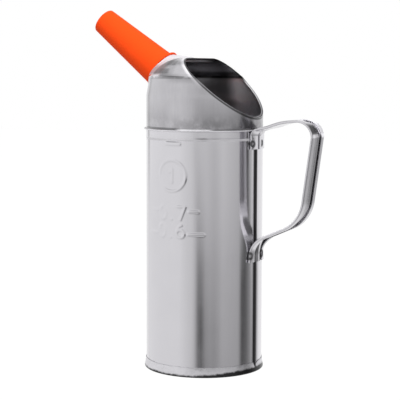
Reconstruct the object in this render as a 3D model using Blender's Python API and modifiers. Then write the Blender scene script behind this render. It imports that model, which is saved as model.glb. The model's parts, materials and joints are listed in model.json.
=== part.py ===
"""Tinplate measuring jug, one litre, with a cut hood, a push-in plastic spout and a strip handle.

Run with: blender --background --python part.py
Metres, +Z up. The origin is on the body's axis at the plane the jug stands on,
+X points to the handle and -X to the spout.
"""

import math

import bmesh
import bpy
from mathutils import Matrix, Vector

MM = 0.001

# Sheet and play
sheet = 0.5 * MM
play = 0.3 * MM
overrun = 5.0 * MM
merge_distance = 0.01 * MM

# Body shell: a rolled cylinder, belled at the top over the hood's skirt
body_radius = 44.0 * MM
body_height = 180.6 * MM
bell_depth = 5.4 * MM
bell_rise = 0.25 * MM
bell_slope = 0.5 * MM
seam_width = 5.0 * MM
seam_rise = 1.0 * MM

# Bottom pan: a raised floor in a rolled rim that wraps round the body's lower edge
floor_height = 4.5 * MM
rim_height = 7.4 * MM
rim_flare = 0.55 * MM
rim_bend = 0.9 * MM
floor_bend = 1.2 * MM

# Hood: a drawn cup, upside down, with a bead that rests on the body
skirt_depth = 5.0 * MM
bead_reach = 1.9 * MM
bead_thickness = 1.4 * MM
wall_height = 24.0 * MM
lean_height = 14.0 * MM
lean_inset = 1.7 * MM
lean_shares = ((0.4, 0.55), (0.75, 0.9))
dome_radius = 24.2 * MM
dome_start = math.radians(25.0)

# Mouth: the slanted cut in the hood and the bead rolled round its edge
mouth_drop = 3.3 * MM
mouth_foot = 7.2 * MM
mouth_bead_radius = 0.95 * MM

# Spout and the neck that holds it
spout_tilt = math.radians(36.4)
spout_axis_lift = 2.13 * MM
neck_sink = 2.4 * MM
neck_length = 5.6 * MM
neck_wall = 0.8 * MM
neck_land = 1.2 * MM
neck_flare = 2.4 * MM
neck_flare_share = 0.35
plug_radius = 14.3 * MM
plug_length = 10.0 * MM
plug_taper = 0.4 * MM
flange_width = 2.3 * MM
flange_thickness = 1.2 * MM
spout_root_radius = 14.1 * MM
spout_tip_radius = 10.0 * MM
spout_length = 65.4 * MM
spout_wall = 1.2 * MM
spout_lip = 0.4 * MM

# Handle: one strip with folded hems, a middle rib, and a lug welded to the body at each end
handle_sheet = 0.6 * MM
handle_width = 21.0 * MM
hem_width = 5.6 * MM
rib_foot = 4.4 * MM
rib_shoulder = 2.9 * MM
rib_crown = 1.4 * MM
grip_rib_rise = 0.8 * MM
upper_lug_rib_rise = 0.6 * MM
lower_lug_rib_rise = 1.2 * MM
upper_lug_height = 12.6 * MM
lower_lug_height = 15.2 * MM
lower_lug_bottom = 83.6 * MM
arm_root_drop = 0.6 * MM
arm_rise = math.radians(19.4)
arm_span = 24.0 * MM
crown_rise = math.radians(5.0)
grip_corner_reach = 49.1 * MM
grip_lean = math.radians(8.1)
lower_arm_slope = math.radians(20.5)
arm_root_radius = 4.3 * MM
arch_radius = 60.0 * MM
top_bend_radius = 11.3 * MM
bottom_bend_radius = 25.0 * MM
lower_root_radius = 15.0 * MM
saddle_fade = 12.0 * MM
rib_fade = 8.0 * MM

# Facets
round_steps = 64
spout_steps = 40
mouth_steps = 72
bead_side_steps = 2
dome_steps = 8
bend_steps = 3
hem_steps = 4
arc_step = math.radians(11.0)
sharp_angle = math.radians(35)


# Sizes worked out from the ones above
bell_radius = body_radius + bell_rise
skirt_radius = bell_radius - sheet - play
bead_bottom = body_height + play
bead_top = bead_bottom + bead_thickness
crease_height = bead_top + wall_height + lean_height
crease_radius = body_radius - lean_inset
dome_centre_radius = crease_radius - dome_radius * math.cos(dome_start)
dome_centre_height = crease_height - dome_radius * math.sin(dome_start)
hood_height = dome_centre_height + dome_radius
mouth_height = hood_height - mouth_drop
mouth_tilt = math.atan((mouth_height - bead_top - mouth_foot) / body_radius)
axis_climb = spout_axis_lift - dome_centre_radius * math.sin(spout_tilt)
spout_axis_height = dome_centre_height + axis_climb / math.cos(spout_tilt)
neck_bore_radius = plug_radius + play
fold_height = handle_sheet + play


def clear_scene():
    for old in list(bpy.data.objects):
        bpy.data.objects.remove(old, do_unlink=True)


def make_collection(name):
    collection = bpy.data.collections.new(name)
    bpy.context.scene.collection.children.link(collection)
    return collection


def make_material(name, colour, roughness, metallic):
    material = bpy.data.materials.new(name)
    material.use_nodes = True
    shader = material.node_tree.nodes["Principled BSDF"]
    shader.inputs["Base Color"].default_value = (*colour, 1.0)
    shader.inputs["Roughness"].default_value = roughness
    shader.inputs["Metallic"].default_value = metallic
    return material


def add_object(name, mesh, collection):
    piece = bpy.data.objects.new(name, mesh)
    collection.objects.link(piece)
    return piece


def arc(centre, radius, start, end, steps):
    """Points of a circular arc in the profile plane, with both of its ends."""
    angles = (start + (end - start) * i / steps for i in range(steps + 1))
    return [(centre[0] + radius * math.cos(a), centre[1] + radius * math.sin(a)) for a in angles]


def profile_object(name, points, closed, collection):
    """A chain of edges in the XZ plane, ready for a Screw modifier."""
    mesh = bpy.data.meshes.new(name)
    edges = [(i, i + 1) for i in range(len(points) - 1)]
    if closed:
        edges.append((len(points) - 1, 0))
    mesh.from_pydata([(x, 0, z) for x, z in points], edges, [])
    return add_object(name, mesh, collection)


def add_screw(piece, steps):
    screw = piece.modifiers.new("turn", "SCREW")
    screw.axis = "Z"
    screw.angle = math.tau
    screw.steps = steps
    screw.render_steps = steps
    screw.use_merge_vertices = True
    screw.merge_threshold = merge_distance
    return screw


def add_wall(piece, thickness):
    """Gives an open surface its thickness, on the side away from its normals."""
    wall = piece.modifiers.new("wall", "SOLIDIFY")
    wall.thickness = thickness
    wall.offset = -1
    wall.use_even_offset = True
    wall.use_quality_normals = True
    return wall


def add_boolean(piece, operation, other):
    step = piece.modifiers.new(operation.lower(), "BOOLEAN")
    step.operation = operation
    step.object = other
    step.solver = "EXACT"


def bake_modifiers(piece):
    """The mesh that an object's modifiers, or a curve's bevel, make."""
    graph = bpy.context.evaluated_depsgraph_get()
    return bpy.data.meshes.new_from_object(piece.evaluated_get(graph))


def hide_helper(helper):
    helper.hide_render = True
    helper.display_type = "WIRE"


def smooth(piece):
    piece.data.shade_smooth()
    piece.data.set_sharp_from_angle(angle=sharp_angle)


def make_body_shell(parts, helpers, material):
    """The rolled wall with its lock seam, which stands proud on the handle's side."""
    bottom = sheet + play
    bell_bottom = body_height - bell_depth
    points = [
        (bell_radius, body_height),
        (bell_radius, bell_bottom),
        (body_radius, bell_bottom - bell_slope),
        (body_radius, bottom),
    ]
    shell = profile_object("body_shell", points, False, parts)
    add_screw(shell, round_steps)
    add_wall(shell, sheet)

    seam_bottom = rim_height + play
    seam_top = bell_bottom - bell_slope
    seam_inner = body_radius - sheet / 2
    seam_outer = body_radius + seam_rise
    mesh = bpy.data.meshes.new("lock_seam")
    edit = bmesh.new()
    bmesh.ops.create_cube(edit, size=1)
    size = Vector((seam_outer - seam_inner, seam_width, seam_top - seam_bottom))
    centre = Vector(((seam_outer + seam_inner) / 2, 0, (seam_top + seam_bottom) / 2))
    placed = Matrix.Translation(centre) @ Matrix.Diagonal((*size, 1))
    bmesh.ops.transform(edit, matrix=placed, verts=edit.verts)
    edit.to_mesh(mesh)
    edit.free()
    seam = add_object("lock_seam", mesh, helpers)
    hide_helper(seam)
    add_boolean(shell, "UNION", seam)
    shell.data.materials.append(material)
    smooth(shell)
    return shell


def make_bottom_pan(parts, material):
    """The floor, and the rim that hooks round the lower edge of the body."""
    inner_radius = body_radius - 2 * sheet - play
    rim_top_radius = body_radius + sheet + play
    rim_bottom_radius = rim_top_radius + rim_flare
    points = [(rim_top_radius, rim_height)]
    outer_bend = (rim_bottom_radius - rim_bend, rim_bend)
    inner_bend = (inner_radius + rim_bend, rim_bend)
    floor_corner = (inner_radius - floor_bend, floor_height - floor_bend)
    points += arc(outer_bend, rim_bend, 0, -math.pi / 2, bend_steps)
    points += arc(inner_bend, rim_bend, -math.pi / 2, -math.pi, bend_steps)
    points += arc(floor_corner, floor_bend, 0, math.pi / 2, bend_steps - 1)
    points.append((0, floor_height))
    pan = profile_object("bottom_pan", points, False, parts)
    add_screw(pan, round_steps)
    add_wall(pan, sheet)
    pan.data.materials.append(material)
    smooth(pan)
    return pan


def hood_profile():
    """The hood's outer line, from the middle of its top down to the foot of its skirt."""
    dome_centre = (dome_centre_radius, dome_centre_height)
    bead_half = bead_thickness / 2
    bead_centre = (body_radius + bead_reach - bead_half, bead_bottom + bead_half)
    points = [(0, hood_height)]
    points += arc(dome_centre, dome_radius, math.pi / 2, dome_start, dome_steps)
    for down, out in lean_shares:
        points.append((crease_radius + lean_inset * out, crease_height - lean_height * down))
    points.append((body_radius, crease_height - lean_height))
    points.append((body_radius, bead_top))
    points += arc(bead_centre, bead_half, math.pi / 2, -math.pi / 2, bend_steps + 1)
    points.append((skirt_radius, bead_bottom))
    points.append((skirt_radius, bead_bottom - skirt_depth))
    return points


def ordered_loop(edges):
    """The vertices of one closed loop of edges, in order."""
    links = {}
    for edge in edges:
        a, b = edge.verts
        links.setdefault(a, []).append(b)
        links.setdefault(b, []).append(a)
    loop = [next(iter(links))]
    previous = None
    while True:
        onward = [v for v in links[loop[-1]] if v is not previous]
        previous = loop[-1]
        if onward[0] is loop[0]:
            return [v.co.copy() for v in loop]
        loop.append(onward[0])


def even_points(loop, count):
    """The same closed loop with its points at even distances."""
    closed = loop + [loop[0]]
    lengths = [(b - a).length for a, b in zip(closed, closed[1:])]
    total = sum(lengths)
    points = []
    piece = 0
    walked = 0
    for i in range(count):
        target = total * i / count
        while walked + lengths[piece] < target:
            walked += lengths[piece]
            piece += 1
        share = (target - walked) / lengths[piece]
        points.append(closed[piece].lerp(closed[piece + 1], share))
    return points


def spout_frame(distance):
    """The matrix of a point on the spout's axis, with its local Z along the axis."""
    turn = Matrix.Rotation(-(math.pi / 2 - spout_tilt), 4, "Y")
    along = turn.to_3x3() @ Vector((0, 0, distance))
    return Matrix.Translation(Vector((0, 0, spout_axis_height)) + along) @ turn


def seat_distance():
    """How far along its axis the neck's face lies, from where the axis crosses the jug's own."""
    along = Vector((math.cos(spout_tilt), math.sin(spout_tilt)))
    centre = Vector((dome_centre_radius, dome_centre_height - spout_axis_height))
    middle = centre.dot(along)
    off_axis = (centre - along * middle).length
    return middle + math.sqrt(dome_radius**2 - off_axis**2) - neck_sink


def make_hood(parts, helpers, material):
    """The drawn hood, cut on the slant for its mouth, beaded there, with a neck for the spout."""
    blank = profile_object("hood_blank", hood_profile(), False, helpers)
    add_screw(blank, round_steps)
    mesh = bake_modifiers(blank)
    bpy.data.objects.remove(blank)

    edit = bmesh.new()
    edit.from_mesh(mesh)
    normal = Vector((math.sin(mouth_tilt), 0, math.cos(mouth_tilt)))
    origin = Vector((0, 0, mouth_height))
    cut = bmesh.ops.bisect_plane(
        edit,
        geom=list(edit.verts) + list(edit.edges) + list(edit.faces),
        plane_co=origin,
        plane_no=normal,
        clear_outer=True,
    )
    rim = [part for part in cut["geom_cut"] if isinstance(part, bmesh.types.BMEdge)]
    loop = even_points(ordered_loop(rim), mouth_steps)
    edit.to_mesh(mesh)
    edit.free()
    hood = add_object("hood", mesh, parts)
    add_wall(hood, sheet)

    curve = bpy.data.curves.new("mouth_bead", "CURVE")
    curve.dimensions = "3D"
    curve.bevel_depth = mouth_bead_radius
    curve.bevel_resolution = bead_side_steps
    spline = curve.splines.new("POLY")
    spline.points.add(len(loop) - 1)
    for point, place in zip(spline.points, loop):
        inward = Vector((-place.x, -place.y, 0)).normalized() * sheet / 2
        point.co = (*(place + inward), 1)
    spline.use_cyclic_u = True
    guide = add_object("mouth_bead_path", curve, helpers)
    bead = add_object("mouth_bead", bake_modifiers(guide), helpers)
    bpy.data.objects.remove(guide)
    hide_helper(bead)
    add_boolean(hood, "UNION", bead)

    neck_outer = neck_bore_radius + neck_wall
    flare_middle = -neck_land - (neck_length - neck_land) / 2
    plug = [
        (0, 0),
        (neck_outer, 0),
        (neck_outer, -neck_land),
        (neck_outer + neck_flare * neck_flare_share, flare_middle),
        (neck_outer + neck_flare, -neck_length),
        (0, -neck_length),
    ]
    neck = profile_object("spout_neck", plug, False, helpers)
    add_screw(neck, spout_steps)
    neck.matrix_world = spout_frame(seat_distance())
    hide_helper(neck)
    add_boolean(hood, "UNION", neck)

    bore_profile = [
        (0, overrun),
        (neck_bore_radius, overrun),
        (neck_bore_radius, -neck_length - overrun),
        (0, -neck_length - overrun),
    ]
    bore = profile_object("spout_bore", bore_profile, False, helpers)
    add_screw(bore, spout_steps)
    bore.matrix_world = spout_frame(seat_distance())
    hide_helper(bore)
    add_boolean(hood, "DIFFERENCE", bore)
    hood.data.materials.append(material)
    smooth(hood)
    return hood


def make_spout(parts, material):
    """The hollow plastic cone with its flange and the plug that pushes into the neck."""
    flange_radius = plug_radius + flange_width
    plug_end_radius = plug_radius - plug_taper
    points = [
        (spout_tip_radius - spout_wall, spout_length),
        (spout_tip_radius - spout_lip, spout_length),
        (spout_tip_radius, spout_length - spout_lip),
        (spout_root_radius, flange_thickness),
        (flange_radius - spout_lip, flange_thickness),
        (flange_radius, flange_thickness - spout_lip),
        (flange_radius, 0),
        (plug_radius, 0),
        (plug_radius, -plug_length / 2),
        (plug_end_radius, -plug_length),
        (plug_end_radius - spout_wall, -plug_length),
        (spout_root_radius - spout_wall, flange_thickness),
    ]
    spout = profile_object("spout", points, True, parts)
    add_screw(spout, spout_steps)
    spout.matrix_world = spout_frame(seat_distance() + play)
    spout.data.materials.append(material)
    smooth(spout)
    return spout


def rounded_path(corners, radii):
    """Stations along a polyline with rounded corners: (place, direction) of each."""
    stations = []
    last = len(corners) - 1
    for i, corner in enumerate(corners):
        if i in (0, last):
            ahead = corners[1] - corner if i == 0 else corner - corners[last - 1]
            stations.append((corner, ahead.normalized()))
            continue
        before = (corner - corners[i - 1]).normalized()
        after = (corners[i + 1] - corner).normalized()
        turn = before.angle_signed(after)
        reach = radii[i] * math.tan(abs(turn) / 2)
        side = Vector((before.y, -before.x)) * math.copysign(1, turn)
        centre = corner - before * reach + side * radii[i]
        steps = max(2, math.ceil(abs(turn) / arc_step))
        for k in range(steps + 1):
            spin = Matrix.Rotation(-turn * k / steps, 2)
            stations.append((centre - spin @ side * radii[i], spin @ before))
    return stations


def handle_corners():
    """Corners of the strip's middle line in the XZ plane, from the upper lug to the lower one."""
    upper_x = bell_radius + play + handle_sheet / 2 + fold_height
    lower_x = body_radius + play + handle_sheet / 2
    root = Vector((upper_x, body_height - arm_root_drop))
    crown = root + Vector((math.cos(arm_rise), math.sin(arm_rise))) * arm_span
    grip_x = body_radius + grip_corner_reach
    top_corner = Vector((grip_x, crown.y + (grip_x - crown.x) * math.tan(crown_rise)))
    lower_root = Vector((lower_x, lower_lug_bottom + lower_lug_height))
    run = top_corner - lower_root
    lean = math.tan(grip_lean)
    slope = math.tan(lower_arm_slope)
    along = (run.x - run.y * lean) / (1 - slope * lean)
    bottom_corner = lower_root + Vector((along, along * slope))
    return [
        Vector((upper_x, root.y - upper_lug_height)),
        root,
        crown,
        top_corner,
        bottom_corner,
        lower_root,
        Vector((lower_x, lower_lug_bottom)),
    ]


def strip_section():
    """The strip's section from one raw edge to the other, as (across, height, zone).

    The zone is 0 beside the rib, 1 at its shoulders and 2 at its crown.
    """
    fold_radius = fold_height / 2
    half = handle_width / 2 - handle_sheet / 2
    hem_edge = handle_width / 2 - hem_width
    side = [(hem_edge, fold_height, 0)]
    for x, h in arc((half - fold_radius, fold_radius), fold_radius, math.pi / 2, -math.pi / 2, hem_steps):
        side.append((x, h, 0))
    side += [(rib_foot, 0, 0), (rib_shoulder, 0, 1), (rib_crown, 0, 2)]
    mirrored = [(-x, h, zone) for x, h, zone in reversed(side)]
    return side + [(0, 0, 2)] + mirrored


def fade(distance, length):
    """1 at the start, falling smoothly to 0 over the given length."""
    share = min(max(distance / length, 0), 1)
    return 1 - share * share * (3 - 2 * share)


def make_handle(parts, material):
    """The bent strip: its section swept along the path, hugging the body at both lugs."""
    corners = handle_corners()
    radii = [0, arm_root_radius, arch_radius, top_bend_radius, bottom_bend_radius, lower_root_radius, 0]
    stations = rounded_path(corners, radii)
    section = strip_section()
    walked = [0]
    for (a, _), (b, _) in zip(stations, stations[1:]):
        walked.append(walked[-1] + (b - a).length)
    total = walked[-1]
    grip_top = corners[3].y - top_bend_radius
    grip_bottom = corners[4].y + bottom_bend_radius / 2

    mesh = bpy.data.meshes.new("handle")
    edit = bmesh.new()
    bmesh.ops.create_grid(edit, x_segments=len(stations) - 1, y_segments=len(section) - 1, size=1)
    edit.verts.ensure_lookup_table()
    ordered = sorted(edit.verts, key=lambda v: (round(v.co.x, 5), round(v.co.y, 5)))
    for i, (place, ahead) in enumerate(stations):
        outer = Vector((-ahead.y, ahead.x))
        upper = fade(walked[i] - upper_lug_height, saddle_fade)
        lower = fade(total - walked[i] - lower_lug_height / 2, saddle_fade)
        grip = fade(place.y - grip_top, rib_fade) * fade(grip_bottom - place.y, rib_fade)
        grip *= 0 if place.x < body_radius + grip_corner_reach / 2 else 1
        for j, (across, height, zone) in enumerate(section):
            fall = body_radius - math.sqrt(body_radius**2 - across**2)
            rise = height + fall * (upper - lower)
            if zone:
                rise += lower_lug_rib_rise * lower - upper_lug_rib_rise * upper
                rise += grip_rib_rise * grip * zone / 2
            point = place + outer * rise
            ordered[i * len(section) + j].co = (point.x, across, point.y)
    bmesh.ops.recalc_face_normals(edit, faces=edit.faces)
    edit.to_mesh(mesh)
    edit.free()
    handle = add_object("handle", mesh, parts)
    wall = add_wall(handle, handle_sheet)
    wall.offset = 0
    handle.data.materials.append(material)
    smooth(handle)
    return handle


def main():
    clear_scene()
    parts = make_collection("measuring_jug")
    helpers = make_collection("cutters")
    tinplate = make_material("tinplate", (0.70, 0.70, 0.71), 0.28, 1.0)
    hood_plate = make_material("hood_tinplate", (0.66, 0.66, 0.67), 0.32, 1.0)
    strip = make_material("handle_steel", (0.74, 0.74, 0.75), 0.22, 1.0)
    plastic = make_material("orange_plastic", (0.90, 0.10, 0.02), 0.42, 0.0)
    make_body_shell(parts, helpers, tinplate)
    make_bottom_pan(parts, tinplate)
    make_hood(parts, helpers, hood_plate)
    make_spout(parts, plastic)
    make_handle(parts, strip)


main()
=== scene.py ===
# %% [markdown]
# # A tinplate measuring jug
# This lesson dresses a one-litre measuring jug. It has five pieces: a rolled body with embossed
# level marks, a bottom pan, a slanted hood, a strip handle and an orange spout that pushes into
# the hood's neck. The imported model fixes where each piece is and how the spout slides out. The
# lesson gives the pieces their fine shape and their finish. It works in metres, and only the
# soft steps of the painted marks are given in millimetres.

# %% The frame
import math
import json

import bpy
import numpy as np
from mathutils import Matrix, Vector, noise


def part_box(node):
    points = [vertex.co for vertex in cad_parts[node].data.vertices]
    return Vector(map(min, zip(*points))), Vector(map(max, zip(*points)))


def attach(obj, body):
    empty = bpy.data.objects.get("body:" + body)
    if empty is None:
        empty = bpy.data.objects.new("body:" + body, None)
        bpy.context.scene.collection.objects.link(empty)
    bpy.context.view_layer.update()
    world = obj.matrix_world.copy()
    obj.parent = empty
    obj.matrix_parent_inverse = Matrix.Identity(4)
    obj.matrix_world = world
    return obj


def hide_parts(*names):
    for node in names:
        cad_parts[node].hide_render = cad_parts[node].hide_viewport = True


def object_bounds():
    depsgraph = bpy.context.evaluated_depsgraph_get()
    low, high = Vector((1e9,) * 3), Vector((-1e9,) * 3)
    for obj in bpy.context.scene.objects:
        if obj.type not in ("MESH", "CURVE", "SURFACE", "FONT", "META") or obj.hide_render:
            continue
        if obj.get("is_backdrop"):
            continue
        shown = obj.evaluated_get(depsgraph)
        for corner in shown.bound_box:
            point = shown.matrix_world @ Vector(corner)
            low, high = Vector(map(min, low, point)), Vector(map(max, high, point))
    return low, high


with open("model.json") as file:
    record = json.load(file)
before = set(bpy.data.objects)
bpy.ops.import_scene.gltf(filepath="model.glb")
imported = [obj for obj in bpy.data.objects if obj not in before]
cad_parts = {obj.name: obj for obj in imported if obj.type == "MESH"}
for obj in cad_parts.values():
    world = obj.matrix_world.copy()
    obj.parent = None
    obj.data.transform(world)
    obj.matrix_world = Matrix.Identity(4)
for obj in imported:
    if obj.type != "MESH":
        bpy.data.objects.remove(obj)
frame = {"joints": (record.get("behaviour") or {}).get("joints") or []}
cad_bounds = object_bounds()
MM = 0.001

# %% [markdown]
# ## The camera
# The photograph was taken with a long lens from a little below the jug's top, so the lines stay
# nearly parallel and the mouth shows as a narrow slanted opening. A camera could be aimed with a
# Track To constraint, but here the bearing, height, tilt, pan and roll are known, so the
# rotation is put together from them, and the lens follows from the size of the jug.

# %% Camera
camera_bearing = math.radians(28.0)
camera_distance = 975.6 * MM
camera_height = 226.69 * MM
camera_tilt = math.radians(5.827)
camera_pan = math.radians(0.1996)
camera_roll = math.radians(0.1712)
camera_lens = 116.2

lens = bpy.data.cameras.new("studio_camera")
lens.lens = camera_lens
camera = bpy.data.objects.new("studio_camera", lens)
bpy.context.scene.collection.objects.link(camera)
camera_place = Matrix.Rotation(camera_bearing, 3, "Z") @ Vector((0, -camera_distance, camera_height))
turn = Matrix.Rotation(camera_bearing + camera_pan, 4, "Z")
turn = turn @ Matrix.Rotation(math.radians(90) - camera_tilt, 4, "X")
turn = turn @ Matrix.Rotation(camera_roll, 4, "Z")
camera.matrix_world = Matrix.Translation(camera_place) @ turn
bpy.context.scene.camera = camera
bpy.context.scene.view_settings.view_transform = "Standard"
print("camera at", [round(value, 3) for value in camera_place])

# %% [markdown]
# ## Shader maths in plain Python
# A finish is a tree of nodes. Wiring it by hand in the editor is quick to see but slow to read
# back, so a small class stands for one output socket: an expression such as 1 - mark * 0.5 adds
# the Math nodes for it. Every other node comes from one method, which first makes the node's
# settings and then fills its sockets with numbers, colours or other outputs. What lies at a
# place of its own, such as a smudge, is a mark: a product of soft steps along the coordinates.

# %% Socket class and node method
class Wire:
    """One output socket in a node tree."""

    def __init__(self, tree, socket):
        self.tree = tree
        self.socket = socket

    def maths(self, operation, *others):
        settings = {"operation": operation}
        sockets = dict(enumerate((self, *others)))
        return self.tree.node("ShaderNodeMath", settings, sockets)

    def __add__(self, other):
        return self.maths("ADD", other)

    def __sub__(self, other):
        return self.maths("SUBTRACT", other)

    def __rsub__(self, other):
        return (self * -1).maths("ADD", other)

    def __mul__(self, other):
        return self.maths("MULTIPLY", other)

    def __truediv__(self, other):
        return self.maths("DIVIDE", other)

    __radd__ = __add__
    __rmul__ = __mul__


class Tree:
    """The nodes of one material or world."""

    def __init__(self, owner):
        owner.use_nodes = True
        self.links = owner.node_tree.links
        self.nodes = owner.node_tree.nodes
        self.nodes.clear()

    def node(self, kind, settings=None, sockets=None, output=0):
        made = self.nodes.new(kind)
        for name, value in (settings or {}).items():
            if name == "stops":
                self.set_stops(made.color_ramp, value)
            else:
                setattr(made, name, value)
        for name, value in (sockets or {}).items():
            if isinstance(value, Wire):
                self.links.new(value.socket, made.inputs[name])
            else:
                made.inputs[name].default_value = value
        return Wire(self, made.outputs[output]) if made.outputs else made

    def set_stops(self, ramp, stops):
        while len(ramp.elements) < len(stops):
            ramp.elements.new(1.0)
        for element, (place, level) in zip(ramp.elements, stops):
            element.position = place
            element.color = (level, level, level, 1.0)

    def ramp(self, value, *stops):
        """A grey ramp over the given (place, level) stops."""
        return self.node("ShaderNodeValToRGB", {"stops": stops}, {"Fac": value})

    def blend(self, share, first, second):
        """The first number where share is 0, the second where it is 1."""
        return self.node("ShaderNodeMix", {"data_type": "FLOAT"}, {0: share, 2: first, 3: second})

    def tint(self, share, first, second):
        """The first colour where share is 0, the second where it is 1."""
        sockets = {0: share, 6: first, 7: second}
        return self.node("ShaderNodeMix", {"data_type": "RGBA"}, sockets, output=2)

    def between(self, value, low, high):
        """0 at low and 1 at high, with a soft step."""
        settings = {"interpolation_type": "SMOOTHSTEP"}
        sockets = {"Value": value, "From Min": low, "From Max": high}
        return self.node("ShaderNodeMapRange", settings, sockets)

    def mark(self, *steps):
        """1 where all soft steps are on, each (value, its off place, its on place) in millimetres."""
        fades = [self.between(value, off * MM, on * MM) for value, off, on in steps]
        return math.prod(fades[1:], start=fades[0])

    def line(self, value, middle, reach, core):
        """1 within core of a middle and 0 beyond reach, in millimetres."""
        return self.mark(((value - middle * MM).maths("ABSOLUTE"), reach, core))

    def vector(self, operation, *vectors, output=0):
        """A Vector Math node, whose output 1 is a number."""
        sockets = dict(enumerate(vectors))
        return self.node("ShaderNodeVectorMath", {"operation": operation}, sockets, output)

    def either(self, *marks):
        """The sum of marks, but never more than 1."""
        return sum(marks[1:], start=marks[0]).maths("MINIMUM", 1.0)

    def shade(self, value, *marks):
        """Darkens a value by each (mark, strength), or lightens it where the strength is negative."""
        for mark, strength in marks:
            value = value * (1 - mark * strength)
        return value

    def without(self, *marks):
        """What is left of 1 once each (mark, share) is taken off."""
        left = 1.0
        for mark, share in marks:
            left = left - mark * share
        return left

    def place(self, turn=0.0, stretch=(1.0, 1.0, 1.0)):
        """Object coordinates, turned about the jug's axis and stretched."""
        coordinates = self.node("ShaderNodeTexCoord", output="Object")
        sockets = {"Vector": coordinates, "Rotation": (0, 0, turn), "Scale": stretch}
        return self.node("ShaderNodeMapping", {"vector_type": "POINT"}, sockets)

    def split(self, vector):
        apart = self.node("ShaderNodeSeparateXYZ", sockets={"Vector": vector})
        node = apart.socket.node
        return [Wire(self, node.outputs[axis]) for axis in "XYZ"]

    def grain(self, vector, scale, detail, roughness):
        sockets = {"Vector": vector, "Scale": scale, "Detail": detail, "Roughness": roughness}
        return self.node("ShaderNodeTexNoise", sockets=sockets)


print("a Wire adds, takes away, multiplies and divides; a Tree makes every other node")

# %% [markdown]
# ## The studio
# Metal shows little of its own colour and nearly all of the room. In the photograph the jug
# stands in a light tent: bright to its left and behind it, greyer on the camera's side, with a
# dark gap near the handle. The room could be built from cards, which would have to be moved for
# each view. Here the world itself is the tent: its brightness is read from the bearing of a ray
# and from how steeply it climbs, from ramps that lie at a few heights, as the panels of a tent
# do. Bearings are counted from the camera, with plus to the right. A narrow dark strip in the
# left panel draws the thin dark line along the jug's left edge. Rays from the camera see plain
# white, and matt surfaces get a plain even light.

# %% The tent
tent_left = ((-180, 0.98), (-151, 0.97), (-146, 0.62), (-141, 0.62), (-136, 0.95), (-120, 0.95),
             (-50, 0.91), (-37, 0.84))
tent_dim_left = ((-180, 0.93), (-149, 0.93), (-143, 0.84), (-137, 0.91), (-50, 0.88), (-37, 0.79))
# Each row lies so many degrees above level and holds (bearing in degrees, brightness) pairs.
tent_rows = {
    -65: ((-180, 0.75), (180, 0.75)),
    -30: ((-180, 0.90), (-60, 0.80), (-20, 0.50), (60, 0.45), (110, 0.50), (126, 0.90), (180, 0.90)),
    -18: ((-180, 0.92), (-50, 0.85), (-20, 0.50), (0, 0.30), (100, 0.32), (118, 0.50), (130, 0.72),
          (180, 0.78)),
    -12.5: (*tent_dim_left, (-25, 0.71), (-19, 0.55), (-13, 0.14), (-6, 0.05), (2, 0.30), (11, 0.36),
            (19, 0.33), (27, 0.38), (36, 0.49), (62, 0.46), (72, 0.44), (80, 0.06), (87, 0.11), (93, 0.14),
            (104, 0.32), (113, 0.50), (121, 0.30), (130, 0.42), (138, 0.97), (180, 1.0)),
    -9: (*tent_dim_left, (-25, 0.74), (-19, 0.62), (-12, 0.26), (-5, 0.26), (2, 0.42), (11, 0.46),
         (19, 0.44), (27, 0.48), (36, 0.55), (62, 0.50), (72, 0.47), (79, 0.10), (88, 0.11), (94, 0.20),
         (104, 0.34), (113, 0.60), (121, 0.30), (130, 0.42), (138, 0.97), (180, 1.0)),
    -6.5: (*tent_dim_left, (-25, 0.77), (-18, 0.64), (-12, 0.52), (-5, 0.60), (4, 0.66), (19, 0.58),
           (27, 0.60), (36, 0.66), (62, 0.58), (72, 0.55), (80, 0.40), (86, 0.12), (96, 0.12), (102, 0.45),
           (112, 0.90), (120, 0.75), (128, 0.85), (134, 0.97), (180, 1.0)),
    -3.2: (*tent_left, (-25, 0.77), (-18, 0.67), (-8, 0.75), (3, 0.72), (19, 0.60), (36, 0.75), (52, 0.67),
           (72, 0.60), (82, 0.56), (87, 0.44), (90, 0.05), (95, 0.05), (98, 0.55), (106, 0.62),
           (111, 0.97), (180, 1.0)),
    -1.8: (*tent_left, (-25, 0.76), (-18, 0.70), (19, 0.68), (36, 0.72), (62, 0.60), (74, 0.45),
           (80, 0.22), (104, 0.20), (110, 0.50), (116, 0.90), (180, 1.0)),
    4: (*tent_left, (-18, 0.76), (36, 0.70), (62, 0.55), (74, 0.40), (82, 0.20), (106, 0.20),
        (114, 0.95), (180, 1.0)),
    9: (*tent_left, (-18, 0.76), (36, 0.66), (62, 0.50), (74, 0.35), (82, 0.10), (150, 0.12),
        (160, 0.97), (180, 1.0)),
    18: (*tent_left, (-18, 0.74), (36, 0.62), (62, 0.45), (80, 0.10), (150, 0.12), (162, 0.95), (180, 1.0)),
    30: ((-180, 0.95), (-140, 0.80), (-120, 0.45), (-68, 0.20), (-54, 0.60), (-40, 0.90), (-20, 0.40),
         (0, 0.30), (60, 0.25), (90, 0.10), (148, 0.15), (165, 0.90), (180, 0.95)),
    48: ((-180, 0.60), (-150, 0.60), (-138, 0.80), (-76, 0.85), (-64, 1.0), (-35, 1.0), (-18, 0.45),
         (60, 0.35), (180, 0.60)),
    64: ((-180, 0.60), (-130, 0.85), (-60, 0.85), (0, 0.50), (180, 0.60)),
    76: ((-180, 1.0), (180, 1.0)),
}
even_light = 0.66
white = (1, 1, 1, 1)
tent_turn = math.radians(90) - camera_bearing

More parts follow.
